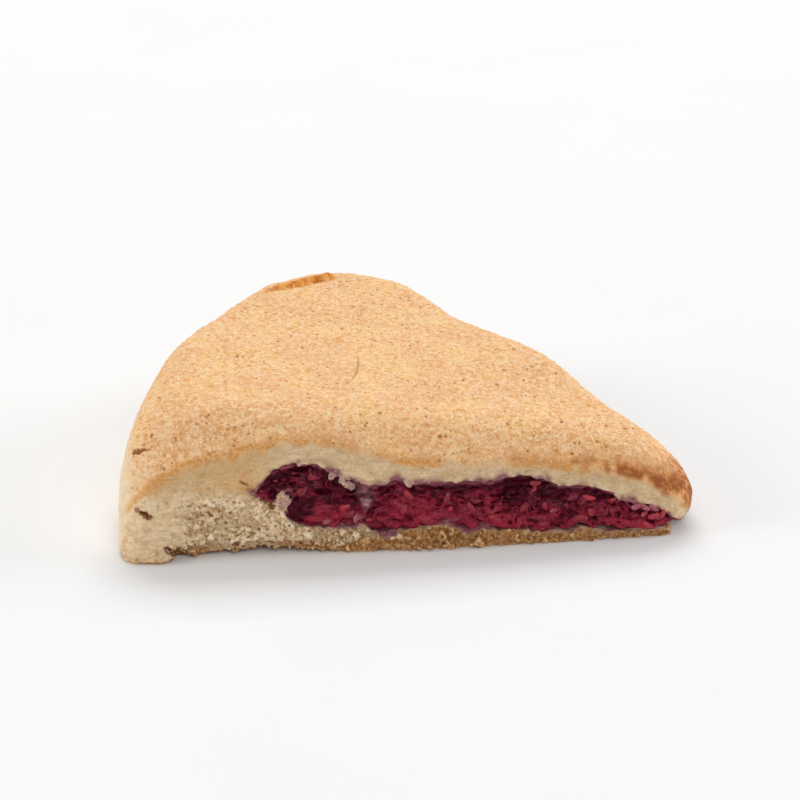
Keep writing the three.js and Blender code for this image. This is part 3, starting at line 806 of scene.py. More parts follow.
def tint(c, reach, value, layer=None, wide=1.0):
    """Shifts the colour of the fruit round a point."""
    layer = tone_field if layer is None else layer
    got = B.block(c, (reach * 1.6 * wide,) * 3)
    if got is None:
        return
    sl, px, py, pz = got
    q = (((px - c[0]) / wide) ** 2 + (py - c[1]) ** 2 + (pz - c[2]) ** 2) / reach ** 2
    w = np.exp(-q * 1.4).astype(np.float32)
    layer[sl] = layer[sl] * (1 - w) + value * w


for side in ("front", "back"):
    placed = []
    for _ in range(3600):
        s = r2.uniform(11, 87)
        e = edges(side, s)
        lo_z, hi_z = float(e[0]), float(e[1])
        v = r2.random() ** 0.75
        rad = r2.uniform(0.8, 1.55) * (0.7 if s < 26 else 1.0)
        zc = lo_z + 0.5 * rad + v * max(hi_z - lo_z - 0.9 * rad, 0.1)
        if any((s - a) ** 2 + (zc - b) ** 2 < (0.74 * (rad + c)) ** 2 for a, b, c in placed):
            continue
        placed.append((s, zc, rad))
    for s, zc, rad in placed:
        e = edges(side, s)
        v = (zc - float(e[0])) / max(float(e[1]) - float(e[0]), 0.5)
        p = face_point(side, s, zc, rad * 0.55 + r2.uniform(0.0, 0.75))
        if p is None:
            continue
        flat = r2.uniform(1.0, 1.45) if v > 0.45 else r2.uniform(1.4, 2.6)
        ax = np.array([[1, 0, 0], [0, 1, 0], [0, 0, 1]], float)
        if side == "back":
            ax = np.array([BACK_DIR, BACK_OUT, [0, 0, 1]], float)
        tilt = r2.normal() * (0.7 if v > 0.45 else 0.35)
        c_, s_ = math.cos(tilt), math.sin(tilt)
        ax = np.array([ax[0] * c_ + ax[2] * s_, ax[1], -ax[0] * s_ + ax[2] * c_])
        blob(B, berry, p, (rad * flat, rad * r2.uniform(0.7, 0.95), rad * r2.uniform(0.6, 0.9)), 0.12, ax)
        tint(p, rad * 1.1, r2.normal() * 0.4)
        drupes.append((p, rad))
    # folds of skin and strands: thin ridges that run in swirls across the fruit
    for _ in range(190):
        s = r2.uniform(12, 86)
        e = edges(side, s)
        if e[1] - e[0] < 1.2:
            continue
        zc = r2.uniform(e[0] + 0.4, e[1] - 0.3)
        length, ang, bend = r2.uniform(1.2, 4.2), r2.normal() * 0.55, r2.normal() * 0.9
        g = r2.uniform(0.16, 0.34)
        sink = r2.uniform(0.1, 0.5)
        pos = np.array([s, zc])
        shade = r2.normal() * 0.6
        for t in range(int(length / 0.22)):
            if not e[0] + 0.2 < pos[1] < e[1] - 0.1:
                break
            q = face_point(side, pos[0], pos[1], sink)
            if q is not None:
                blob(B, berry, q, (g, g, g), 0.12)
                if t % 3 == 0:
                    tint(q, 0.5, shade)
            pos += 0.22 * np.array([math.cos(ang), math.sin(ang)])
            e = edges(side, pos[0])
            ang += bend * 0.22
    # hollows between the berries, most of them high up
    for _ in range(34):
        s = r2.uniform(14, 86)
        e = edges(side, s)
        q = face_point(side, s, e[1] - r2.uniform(0.3, 3.2) * min(1, (e[1] - e[0]) / 7), r2.uniform(-0.2, 0.5))
        if q is not None:
            blob(B, berry, q, (r2.uniform(0.5, 1.3), r2.uniform(0.7, 1.1), r2.uniform(0.2, 0.42)), 0.15, None, True)
for c, rad in [((-76.1, 0.4, 10.9), (1.7, 1.2, 0.55)), ((-70.9, 0.3, 9.9), (1.1, 1.0, 0.35)), ((-58.0, 0.4, 10.9), (2.2, 1.0, 0.35)),
               ((-85.0, 0.5, 10.6), (1.0, 1.2, 1.2)), ((-80.0, 0.4, 15.0), (2.6, 1.0, 0.5)), ((-40.5, 0.3, 11.6), (2.6, 1.0, 0.4)), ((-24.0, 0.3, 7.6), (2.0, 1.0, 0.4))]:
    blob(B, berry, on_front(c), rad, 0.25, None, True)
# room for the dough caught in the fruit
for c, rad in BITS[8:13]:
    blob(B, berry, c + np.array([0, 0.3, 0]), (rad[0] * 0.9, rad[1] * 0.9, rad[2] * 0.9), 0.3, None, True)
# the round dark berry low on the left
blob(B, berry, on_front((-81.4, 0.9, 7.4)), (1.9, 1.3, 1.5), 0.12)
tint(on_front((-81.4, 0.2, 7.4)), 1.9, -1.6)
# smooth jam, pink where the dough shows through it
for c, reach, value in [((-76.3, 0, 8.1), 2.6, 0.9), ((-74.0, 0, 6.6), 2.4, 1.2), ((-63.0, 0, 7.8), 3.0, 0.9), ((-58, 0, 7.6), 2.6, 0.8), ((-44, 0, 4.6), 2.0, 0.9),
                        ((-33.9, 0, 5.9), 1.6, 0.9), ((-66.0, 0, 6.0), 1.6, 0.3), ((-78, 0, 5.6), 1.6, 0.9)]:
    tint(on_front(c), reach, value)
# where the dough's skin shows through, almost white
for c, reach, value, wide in [((-68.3, 0.3, 9.0), 1.5, 0.95, 0.8), ((-69.2, 0.3, 11.0), 1.6, 0.5, 1.1), ((-70.5, 0.3, 6.3), 1.1, 0.6, 2.0), ((-76.0, 0.3, 5.6), 0.8, 0.55, 2.6), ((-65.6, 0.3, 5.9), 1.0, 0.2, 1.4),
                              ((-52.5, 0.3, 5.4), 0.9, 0.5, 2.2), ((-37.5, 0.3, 4.4), 0.8, 0.35, 2.4), ((-82.6, 0.3, 10.4), 1.4, 0.5, 1.0), ((-26.0, 0.3, 2.6), 0.6, 0.35, 3.0)]:
    tint(on_front(c), reach, value, pale_field, wide)
# the fruit that creeps out under the pointed end
for t in np.linspace(0, 1, 12):
    blob(B, berry, (-13.0 + 2.9 * t, 0.7 - 0.3 * t, 2.7 - 0.9 * t), (0.8 - 0.5 * t, 0.7 - 0.4 * t, 0.6 - 0.38 * t), 0.2)
say(f"{len(drupes)} drupelets")

berry = np.maximum(berry, room - 0.55)
for axis in range(3):
    berry = 0.08 * np.roll(berry, 1, axis) + 0.84 * berry + 0.08 * np.roll(berry, -1, axis)
berry[0], berry[-1], berry[:, 0], berry[:, -1], berry[:, :, 0], berry[:, :, -1] = 3, 3, 3, 3, 3, 3
bp, bq = mesh_volume(B, berry)
say(f"berry mesh {len(bp)} vertices, {len(bq)} quads")
bn = vertex_normals(bp, bq)
if bn[np.argmax(bp[:, 2])][2] < 0:
    bq = bq[:, ::-1]
    bn = -bn
W = plan(bp[:, 0], bp[:, 1])
bcav = hollowness(bp, bq, bn, B.h)
bi = np.clip(np.round((bp[:, 0] - B.lo[0]) / B.h).astype(int), 0, B.n[0] - 1)
bj = np.clip(np.round((bp[:, 1] - B.lo[1]) / B.h).astype(int), 0, B.n[1] - 1)
share = np.clip((bp[:, 2] - floor2[bi, bj]) / np.maximum(roof2[bi, bj] - floor2[bi, bj], 0.5), 0, 1)
dp = B.sample(depth, bp)
bnoise = [noise(bp[:, 0], bp[:, 1], bp[:, 2], s, 50 + i) for i, s in enumerate((6.0, 2.4, 1.0))]
berry_layers = dict(
    share=share,
    # painted shade: the fruit grows darker the further it lies behind the cut face
    recess_shade=np.clip(dp / 3.0, 0, 1),
    blush=np.clip(0.46 + 0.26 * bnoise[0] + 0.18 * bnoise[1] - 0.65 * (share - 0.42) + 0.32 * B.sample(tone_field, bp), 0, 1),
    haze=np.clip(0.5 + 0.5 * bnoise[1] + 0.3 * bnoise[2], 0, 1),
    rim=np.exp(-np.clip(-B.sample(room, bp), 0, 9) / 0.5),
    cav=np.clip(0.5 + 1.6 * bcav, 0, 1),
    pale=np.clip(B.sample(pale_field, bp) * (1 + 0.5 * bnoise[2]), 0, 1),
)
filling = make_object("raspberry_filling_cooked", bp, bq, layers=berry_layers)
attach(filling, "root")
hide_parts("raspberry_filling")
say("filling object")


# ---------------------------------------------------------------------------
# Raspberry pips: small ridged seeds, set in the fruit
# ---------------------------------------------------------------------------
def ball(level):
    """Unit icosphere vertices and triangles."""
    g = (1 + 5 ** 0.5) / 2
    v = np.array([(-1, g, 0), (1, g, 0), (-1, -g, 0), (1, -g, 0), (0, -1, g), (0, 1, g), (0, -1, -g), (0, 1, -g),
                  (g, 0, -1), (g, 0, 1), (-g, 0, -1), (-g, 0, 1)], float)
    v /= np.linalg.norm(v, axis=1, keepdims=True)
    f = np.array([(0, 11, 5), (0, 5, 1), (0, 1, 7), (0, 7, 10), (0, 10, 11), (1, 5, 9), (5, 11, 4), (11, 10, 2),
                  (10, 7, 6), (7, 1, 8), (3, 9, 4), (3, 4, 2), (3, 2, 6), (3, 6, 8), (3, 8, 9), (4, 9, 5),
                  (2, 4, 11), (6, 2, 10), (8, 6, 7), (9, 8, 1)])
    for _ in range(level):
        cache, out = {}, []
        v = list(v)

        def mid_point(a, b):
            key = (min(a, b), max(a, b))
            if key not in cache:
                m = v[a] + v[b]
                v.append(m / np.linalg.norm(m))
                cache[key] = len(v) - 1
            return cache[key]
        for a, b, c in f:
            ab, bc, ca = mid_point(a, b), mid_point(b, c), mid_point(c, a)
            out += [(a, ab, ca), (b, bc, ab), (c, ca, bc), (ab, bc, ca)]
        f, v = np.array(out), np.array(v)
    return v, f


unit, tri = ball(2)
r3 = np.random.default_rng(5)
pip_pts, pip_tris, pip_tone = [], [], []


def add_pip(p, ang, size, tone, side="front"):
    """One kidney-shaped pip lying in the cut face at an angle from the horizontal."""
    v = unit.copy()
    v[:, 0] *= 1.22 * size
    v[:, 1] *= 0.42 * size
    v[:, 2] *= (0.56 - 0.10 * v[:, 0] / max(size, 0.1)) * size
    v[:, 2] += 0.10 * size * (v[:, 0] / size) ** 2
    ridge = 0.035 * size * (np.sin(v[:, 0] * 6.5 + 1.5 * np.sin(v[:, 2] * 7)) * np.cos(v[:, 2] * 9))
    v *= (1 + ridge / 0.5)[:, None]
    c, s = math.cos(ang), math.sin(ang)
    yaw = r3.normal() * 0.35
    along_ = np.array([1.0, 0, 0]) if side == "front" else -BACK_DIR
    out = np.array([0, -1.0, 0]) if side == "front" else BACK_OUT
    up = np.array([0, 0, 1.0])
    ax = along_ * c + up * s
    az = -along_ * s + up * c
    ax2 = ax * math.cos(yaw) + out * math.sin(yaw)
    ay2 = -ax * math.sin(yaw) + out * math.cos(yaw)
    w = v[:, :1] * ax2 + v[:, 1:2] * ay2 + v[:, 2:] * az + p
    base = sum(len(q) for q in pip_pts)
    flip = np.dot(np.cross(ax2, ay2), az) < 0
    pip_pts.append(w)
    pip_tris.append((tri[:, ::-1] if flip else tri) + base)
    pip_tone.append(np.full(len(w), tone))


def berry_surface(side, s, z):
    """Where the cooked fruit starts, going in from outside the cut face."""
    t = np.arange(-1.6, 4.0, 0.1)
    if side == "front":
        p = np.stack([np.full_like(t, -s), t - 1.6, np.full_like(t, z)], 1)
    else:
        p = BACK_DIR * s + np.array([0, 0, z]) - BACK_OUT * (t - 0.4)[:, None]
    v = B.sample(berry, p)
    hit = np.nonzero(v < 0)[0]
    return None if len(hit) == 0 else p[hit[0]]


KNOWN = [(82.8, 13.3, -0.75, 1.05, .45), (78.1, 14.0, 1.45, 1.0, .5), (79.5, 11.2, 0.9, 1.0, .45), (72.1, 8.0, 0.25, 1.1, .9),
         (60.7, 10.1, -0.7, 1.05, .75), (49.3, 7.2, -0.9, 1.0, .7), (53.6, 9.3, 1.2, 0.95, .6), (37.3, 10.8, -0.1, 1.0, .6),
         (27.6, 7.7, -0.15, 1.05, .95), (23.3, 6.7, 0.7, 1.0, .8), (29.4, 4.4, 0.3, 0.9, .7), (33.9, 5.7, 0.1, 0.85, 1.3),
         (18.7, 5.7, 0.15, 1.0, 1.5), (17.3, 5.5, -0.35, 0.95, 1.6), (15.5, 5.1, -0.5, 0.95, 1.6), (17.1, 4.3, 0.55, 0.95, 1.2),
         (15.6, 3.9, 0.35, 1.0, 1.1), (61.4, 7.6, 1.1, 0.9, .65), (45.2, 5.4, 0.1, 0.9, .8), (67.5, 5.6, 0.0, 0.9, .95)]
for s, zc, ang, size, tone in KNOWN:
    p = berry_surface("front", s, zc)
    if p is not None:
        add_pip(p + np.array([0, 0.02, 0]), ang, size, tone)
for side, count in (("front", 26), ("back", 52)):
    for _ in range(count):
        s = r3.uniform(13, 85)
        e = edges(side, s)
        lo_z, hi_z = float(e[0]), float(e[1])
        zc = r3.uniform(lo_z + 0.9, hi_z - 0.9) if hi_z - lo_z > 2 else (lo_z + hi_z) / 2
        p = berry_surface(side, s, zc)
        if p is None:
            continue
        inward = np.array([0, 1.0, 0]) if side == "front" else -BACK_OUT
        add_pip(p + inward * r3.uniform(0.1, 0.35), r3.uniform(-1.5, 1.5), r3.uniform(0.8, 1.05), r3.uniform(0.3, 1.0), side)
pips = make_object("raspberry_pips", np.concatenate(pip_pts), np.concatenate(pip_tris), corners=3,
                   layers=dict(tone=np.concatenate(pip_tone)))
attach(pips, "root")
say(f"{len(pip_pts)} pips")

# ---------------------------------------------------------------------------
# Loose and half-loose grains of crumb on the torn faces
# ---------------------------------------------------------------------------
GRAIN, GRAIN_F = ball(1)
r5 = np.random.default_rng(314)


def scatter(name, where, sizes, squash, sink, faces=GRAIN_F, shape=GRAIN, rough=0.22, tone=None):
    """Many small closed bodies set on chosen vertices of the dough."""
    n, m = len(where), len(shape)
    q = r5.normal(size=(n, 4))
    q /= np.linalg.norm(q, axis=1, keepdims=True)
    w, a, b, c = q.T
    R = np.stack([1 - 2 * (b * b + c * c), 2 * (a * b - c * w), 2 * (a * c + b * w),
                  2 * (a * b + c * w), 1 - 2 * (a * a + c * c), 2 * (b * c - a * w),
                  2 * (a * c - b * w), 2 * (b * c + a * w), 1 - 2 * (a * a + b * b)], 1).reshape(n, 3, 3)
    axes = sizes[:, None] * np.stack([r5.uniform(0.9, squash, n), np.ones(n), r5.uniform(0.6, 1.0, n)], 1)
    v = shape[None] * (1 + rough * r5.normal(size=(n, m, 1)).clip(-1.2, 1.2)) * axes[:, None]
    v = np.einsum("nij,nmj->nmi", R, v) + (pts[where] + nrm[where] * (sink * sizes)[:, None])[:, None]
    f = faces[None] + (np.arange(n) * m)[:, None, None]
    return v.reshape(-1, 3), f.reshape(-1, faces.shape[1])


weight = np.maximum(openness * 1.0, foot * (steep > 0.5) * (z < 7) * (V["r"] < 109) * 1.2) * (cutting > 0.6)
weight = weight * (1 - np.clip(stain * 1.2, 0, 1)) * np.clip(0.55 + 0.7 * vn[1], 0.05, 1.2)
near_front = (onf > 0.5)
weight = np.where(near_front, weight, 0.5 * weight) * (z > 0.25)
spots = r5.choice(len(pts), 4200, replace=False, p=weight / weight.sum())
gsize = np.where(r5.random(len(spots)) < 0.85, r5.uniform(0.09, 0.18, len(spots)), r5.uniform(0.18, 0.32, len(spots)))
gp, gf = scatter("crumb", spots, gsize, 2.4, r5.uniform(-0.55, 0.2, len(spots)), rough=0.3)
gm = len(GRAIN)
tone_g = np.repeat(np.clip(0.5 + 0.28 * r5.normal(size=len(spots)), 0, 1), gm)
crumbs = make_object("crumb_grains", gp, gf, corners=3, layers=dict(tone=tone_g, foot=np.repeat(foot[spots], gm)))
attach(crumbs, "root")
say("grains")

# ---------------------------------------------------------------------------
# Sugar crystals on the crust
# ---------------------------------------------------------------------------
r4 = np.random.default_rng(99)
dust = 0.5 + 0.5 * noise(x, y, z, 5.0, 80) + 0.25 * noise(x, y, z, 2.0, 81)
fit = np.nonzero((crust > 0.85) & (nrm[:, 2] > 0.15) & (z > 8) & (dust > 0.15) & (pit < 0.3) & (wall_gold < 0.2))[0]
wgt = np.clip(dust[fit], 0.15, 1.2) * np.clip(1.4 - toast[fit], 0.3, 1.2)
wgt = wgt * step(1.0, 9.0, V["front"][fit]) + 0.02
pick = r4.choice(fit, 2600, replace=False, p=wgt / wgt.sum())
CUBE = np.array([(-1, -1, -1), (1, -1, -1), (1, 1, -1), (-1, 1, -1), (-1, -1, 1), (1, -1, 1), (1, 1, 1), (-1, 1, 1)], float)
CUBE_F = np.array([(0, 3, 2, 1), (4, 5, 6, 7), (0, 1, 5, 4), (1, 2, 6, 5), (2, 3, 7, 6), (3, 0, 4, 7)])
sug_p, sug_f, sug_t = [], [], []
for n, i in enumerate(pick):
    s = r4.uniform(0.14, 0.22) if n < 300 else r4.uniform(0.08, 0.15)
    shape = CUBE * (s * r4.uniform(0.8, 1.35), s, s * r4.uniform(0.7, 1.1))
    shape = shape * (1 + 0.18 * r4.normal(size=(8, 1)).clip(-1, 1)) * np.where(CUBE[:, 2:] > 0, 0.75, 1.0)
    nz_ = nrm[i] / np.linalg.norm(nrm[i])
    nx_ = np.cross(nz_, r4.normal(size=3))
    nx_ /= np.linalg.norm(nx_)
    sug_p.append(shape @ np.array([nx_, np.cross(nz_, nx_), nz_]) + pts[i] + nrm[i] * s * 0.05)
    sug_f.append(CUBE_F + 8 * n)
    sug_t.append(np.full(8, r4.random()))
sugar = make_object("sugar_crystals", np.concatenate(sug_p), np.concatenate(sug_f), smooth=False,
                    layers=dict(tone=np.concatenate(sug_t)))
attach(sugar, "root")
say("sugar")


# ---------------------------------------------------------------------------
# Materials
# ---------------------------------------------------------------------------
def srgb(r, g, b):
    return tuple(((c / 255) / 12.92 if c / 255 <= 0.04045 else ((c / 255 + 0.055) / 1.055) ** 2.4) for c in (r, g, b)) + (1.0,)


class Nodes:
    def __init__(self, name):
        self.mat = bpy.data.materials.new(name)
        self.mat.use_nodes = True
        self.t = self.mat.node_tree
        self.t.nodes.clear()
        self.out = self.t.nodes.new("ShaderNodeOutputMaterial")
        self.bsdf = self.t.nodes.new("ShaderNodeBsdfPrincipled")
        self.t.links.new(self.bsdf.outputs[0], self.out.inputs[0])
        self.coord = self.t.nodes.new("ShaderNodeTexCoord").outputs["Object"]

    def link(self, a, b):
        self.t.links.new(a, b)

    def put(self, socket, value):
        if isinstance(value, bpy.types.NodeSocket):
            self.link(value, socket)
        else:
            socket.default_value = value

    def attr(self, name):
        n = self.t.nodes.new("ShaderNodeAttribute")
        n.attribute_name = name
        return n.outputs["Fac"]

    def noise(self, mm, detail=3.0, rough=0.55, distort=0.0, stretch=None):
        n = self.t.nodes.new("ShaderNodeTexNoise")
        n.inputs["Scale"].default_value = 1000.0 / mm
        n.inputs["Detail"].default_value = detail
        n.inputs["Roughness"].default_value = rough
        n.inputs["Distortion"].default_value = distort
        if stretch:
            m = self.t.nodes.new("ShaderNodeMapping")
            m.inputs["Scale"].default_value = stretch
            self.link(self.coord, m.inputs["Vector"])
            self.link(m.outputs[0], n.inputs["Vector"])
        else:
            self.link(self.coord, n.inputs["Vector"])
        return n.outputs[0]

    def warped(self, mm, amount):
        """The object coordinates pushed about by noise, so that what they drive has ragged outlines."""
        n = self.t.nodes.new("ShaderNodeTexNoise")
        n.inputs["Scale"].default_value = 1000.0 / mm
        n.inputs["Detail"].default_value = 2.0
        self.link(self.coord, n.inputs["Vector"])
        v = self.t.nodes.new("ShaderNodeVectorMath")
        v.operation = "MULTIPLY_ADD"
        self.link(n.outputs["Color"], v.inputs[0])
        v.inputs[1].default_value = (amount * 0.002,) * 3
        self.link(self.coord, v.inputs[2])
        return v.outputs[0]

    def cells(self, mm, feature="F1", out="Distance", random=1.0, vector=None):
        n = self.t.nodes.new("ShaderNodeTexVoronoi")
        n.feature = feature
        n.inputs["Scale"].default_value = 1000.0 / mm
        n.inputs["Randomness"].default_value = random
        self.link(vector or self.coord, n.inputs["Vector"])
        return n.outputs[out]

    def math(self, op, a, b=0.0, c=0.0, clamp=False):
        n = self.t.nodes.new("ShaderNodeMath")
        n.operation = op
        n.use_clamp = clamp
        for s, v in zip(n.inputs, (a, b, c)):
            self.put(s, v)
        return n.outputs[0]

    def ramp(self, value, lo, hi, a=0.0, b=1.0):
        n = self.t.nodes.new("ShaderNodeMapRange")
        n.interpolation_type = "SMOOTHSTEP"
        self.put(n.inputs["Value"], value)
        n.inputs["From Min"].default_value = lo
        n.inputs["From Max"].default_value = hi
        n.inputs["To Min"].default_value = a
        n.inputs["To Max"].default_value = b
        return n.outputs["Result"]

    def mix(self, fac, a, b, mode="MIX"):
        n = self.t.nodes.new("ShaderNodeMix")
        n.data_type = "RGBA"
        n.blend_type = mode
        self.put(n.inputs["Factor"], fac)
        self.put(n.inputs["A"], a) if False else None
        sockets = [s for s in n.inputs if s.type == "RGBA"]
        self.put(sockets[0], a)
        self.put(sockets[1], b)
        return [s for s in n.outputs if s.type == "RGBA"][0]

    def bump(self, height, strength, mm, normal=None):
        n = self.t.nodes.new("ShaderNodeBump")
        n.inputs["Strength"].default_value = strength
        n.inputs["Distance"].default_value = mm * 0.001
        self.put(n.inputs["Height"], height)
        if normal is not None:
            self.link(normal, n.inputs["Normal"])
        return n.outputs[0]


def dough_material():
    m = Nodes("baked_dough_material")
    crust_, toast_, stain_, pit_ = (m.attr(k) for k in ("crust", "toast", "stain", "pit"))
    foot_, rim_, split_, inner_, cav_ = (m.attr(k) for k in ("foot", "rimside", "split", "inner", "cav"))
    broad = m.noise(9.0, 3, 0.55)
    patch = m.noise(2.6, 3, 0.6)
    grit = m.noise(0.62, 3, 0.65)
    fine = m.noise(0.27, 2, 0.6)
    # painted shade for hollows and painted highlight for ridges, read from the vertex hollowness
    hollow_shade = m.ramp(cav_, 0.52, 0.95)
    lift = m.ramp(cav_, 0.46, 0.1)
    # crumb: pale beige, with painted shade in its hollows and painted highlight on its ridges, pulled into faint level
    # streaks
    crumb = m.mix(m.ramp(patch, 0.3, 0.7), srgb(230, 204, 166), srgb(217, 188, 147))
    # painted shade band just under the crust's lower edge
    crumb = m.mix(m.math("MULTIPLY", m.attr("shade"), m.ramp(patch, 0.3, 0.7, 0.6, 0.95)), crumb, srgb(206, 178, 140))
    streak = m.noise(0.9, 4, 0.6, 0.6, stretch=(0.3, 0.3, 1.5))
    crumb = m.mix(m.ramp(streak, 0.50, 0.66, 0, 0.36), crumb, srgb(188, 150, 102))
    crumb = m.mix(m.ramp(streak, 0.46, 0.34, 0, 0.35), crumb, srgb(242, 216, 180))
    clump = m.noise(1.5, 3, 0.6, 0.3, stretch=(0.6, 0.6, 1.2))
    crumb = m.mix(m.ramp(clump, 0.52, 0.66, 0, 0.5), crumb, srgb(194, 156, 108))
    crumb = m.mix(m.ramp(clump, 0.46, 0.34, 0, 0.4), crumb, srgb(240, 216, 180))
    crumb = m.mix(m.ramp(fine, 0.52, 0.66, 0, 0.5), crumb, srgb(184, 146, 98))
    crumb = m.mix(m.ramp(grit, 0.46, 0.36, 0, 0.3), crumb, srgb(240, 212, 170))
    fold = m.noise(2.4, 3, 0.6, 0.8, stretch=(0.32, 0.32, 1.5))
    wrinkle = m.ramp(m.math("ABSOLUTE", m.math("SUBTRACT", fold, 0.5)), 0.004, 0.022, 1.0, 0.0)
    wrinkle = m.math("MULTIPLY", wrinkle, m.ramp(m.noise(3.1, 2, 0.5), 0.52, 0.62))
    # painted shade along the wrinkles' creases, which the bump below also dents
    crumb = m.mix(m.math("MULTIPLY", wrinkle, 0.3), crumb, srgb(150, 110, 66))
    # painted shade in the crumb's hollows and painted highlight on its ridges
    crumb = m.mix(m.math("MULTIPLY", hollow_shade, 0.8), crumb, srgb(150, 106, 60))
    crumb = m.mix(m.math("MULTIPLY", lift, 0.4), crumb, srgb(242, 218, 182))
    open_ = m.attr("open")
    crevice_noise = m.noise(0.42, 3, 0.7)
    loose = m.mix(m.ramp(m.noise(1.9, 3, 0.6), 0.38, 0.62), srgb(255, 234, 200), srgb(232, 200, 156))
    loose = m.mix(m.ramp(m.noise(4.6, 2, 0.5), 0.46, 0.60, 0, 0.6), loose, srgb(206, 168, 118))
    # painted shade in fine crevices of the open crumb and painted highlight beside them
    loose = m.mix(m.ramp(crevice_noise, 0.51, 0.61, 0, 0.65), loose, srgb(166, 120, 72))
    loose = m.mix(m.ramp(crevice_noise, 0.45, 0.37, 0, 0.6), loose, srgb(248, 234, 208))
    # painted shade in the open crumb's hollows and painted highlight on its ridges
    loose = m.mix(m.ramp(cav_, 0.53, 0.85, 0, 0.9), loose, srgb(150, 104, 56))
    loose = m.mix(m.ramp(cav_, 0.45, 0.2, 0, 0.6), loose, srgb(250, 236, 210))
    crumb = m.mix(open_, crumb, loose)
    # crust: golden, in soft yellow and pink patches, with ragged toasted pits
    pepper = m.noise(0.40, 2, 0.5)
    gold = m.mix(m.ramp(broad, 0.42, 0.56), srgb(247, 201, 136), srgb(240, 186, 134))
    gold = m.mix(m.ramp(m.noise(5.0, 3, 0.6), 0.50, 0.62, 0, 0.4), gold, srgb(234, 172, 108))
    gold = m.mix(m.ramp(patch, 0.47, 0.58, 0, 0.7), gold, srgb(243, 199, 150))
    gold = m.mix(m.ramp(patch, 0.44, 0.34, 0, 0.5), gold, srgb(232, 176, 108))
    grain = m.noise(1.05, 2, 0.5)
    gold = m.mix(m.ramp(grain, 0.53, 0.62, 0, 0.55), gold, srgb(255, 222, 178))
    gold = m.mix(m.ramp(grain, 0.46, 0.37, 0, 0.55), gold, srgb(226, 160, 94))
    gold = m.mix(m.ramp(grit, 0.51, 0.60, 0, 0.5), gold, srgb(255, 224, 180))
    gold = m.mix(m.ramp(grit, 0.46, 0.36, 0, 0.55), gold, srgb(220, 152, 84))
    gold = m.mix(m.ramp(pepper, 0.58, 0.65, 0, 0.6), gold, srgb(202, 130, 58))
    gold = m.mix(m.ramp(pepper, 0.41, 0.33, 0, 0.35), gold, srgb(255, 226, 186))
    # painted shade in the crust's hollows and painted highlight on its bumps
    gold = m.mix(m.math("MULTIPLY", m.ramp(cav_, 0.51, 0.78), 0.6), gold, srgb(206, 132, 60))
    gold = m.mix(m.math("MULTIPLY", m.ramp(cav_, 0.47, 0.25), 0.35), gold, srgb(255, 222, 176))
    ragged = m.warped(0.7, 0.45)
    pore1 = m.math("MULTIPLY", m.ramp(m.cells(1.7, vector=ragged), 0.20, 0.13), m.ramp(m.noise(3.6, 2), 0.47, 0.55))
    pore2 = m.math("MULTIPLY", m.ramp(m.cells(2.6, vector=ragged), 0.13, 0.085), m.ramp(m.noise(8.0, 2), 0.44, 0.52))
    stainy = m.math("MULTIPLY", m.ramp(m.cells(2.9, vector=ragged), 0.30, 0.12), m.ramp(m.noise(6.0, 2), 0.46, 0.58))
    gold = m.mix(m.math("MULTIPLY", stainy, 0.5), gold, srgb(220, 142, 66))
    gold = m.mix(m.math("MULTIPLY", pore1, 0.75), gold, srgb(192, 112, 40))
    gold = m.mix(m.math("MULTIPLY", pore2, 0.78), gold, srgb(160, 88, 26))
    pores = m.math("MULTIPLY", m.math("MAXIMUM", pore1, pore2), crust_)
    ochre_ = m.attr("ochre")
    ochre = m.mix(m.ramp(grit, 0.40, 0.60), srgb(206, 140, 66), srgb(228, 170, 102))
    ochre_n = m.math("MULTIPLY", ochre_, m.ramp(grit, 0.35, 0.62, 1.15, 0.75))
    gold = m.mix(m.ramp(ochre_n, 0.10, 0.95, 0, 0.95), gold, ochre)
    crumb = m.mix(m.ramp(ochre_n, 0.05, 0.95, 0, 0.8), crumb, m.mix(m.ramp(ochre_n, 0.5, 0.9), srgb(200, 156, 98), ochre))
    brown = m.mix(m.ramp(patch, 0.35, 0.65), srgb(210, 136, 74), srgb(178, 106, 54))
    brown = m.mix(m.ramp(grit, 0.46, 0.62, 0, 0.6), brown, srgb(222, 156, 96))
    toast_n = m.math("ADD", toast_, m.math("ADD", m.ramp(patch, 0.3, 0.7, -0.14, 0.14), m.ramp(grit, 0.35, 0.65, -0.2, 0.2)))
    gold = m.mix(m.ramp(toast_n, 0.28, 1.05, 0, 0.95), gold, brown)
    gold = m.mix(m.ramp(toast_n, 0.95, 1.40, 0, 0.8), gold, srgb(146, 76, 36))
    # rim side: smooth cream, barely coloured
    cream = m.mix(m.ramp(patch, 0.35, 0.65), srgb(245, 225, 192), srgb(240, 214, 176))
    cream = m.mix(m.ramp(grit, 0.52, 0.72, 0, 0.4), cream, srgb(214, 172, 120))
    cream = m.mix(m.ramp(ochre_, 0.1, 0.8, 0, 0.9), cream, ochre)
    col = m.mix(crust_, crumb, gold)
    col = m.mix(m.math("MULTIPLY", rim_, 0.92), col, cream)
    # the lower layer and the underside
    base = m.mix(m.ramp(grit, 0.38, 0.62), srgb(196, 136, 68), srgb(222, 166, 96))
    # painted shade in the lower layer's crevices and painted highlight on its grains
    base = m.mix(m.ramp(crevice_noise, 0.495, 0.60, 0, 0.9), base, srgb(92, 50, 16))
    base = m.mix(m.ramp(crevice_noise, 0.43, 0.35, 0, 0.7), base, srgb(236, 194, 140))
    base = m.mix(m.ramp(m.noise(1.5, 2, 0.5), 0.55, 0.66, 0, 0.6), base, srgb(236, 190, 128))
    base = m.mix(m.ramp(m.noise(1.9, 2, 0.5), 0.56, 0.66, 0, 0.6), base, srgb(122, 72, 30))
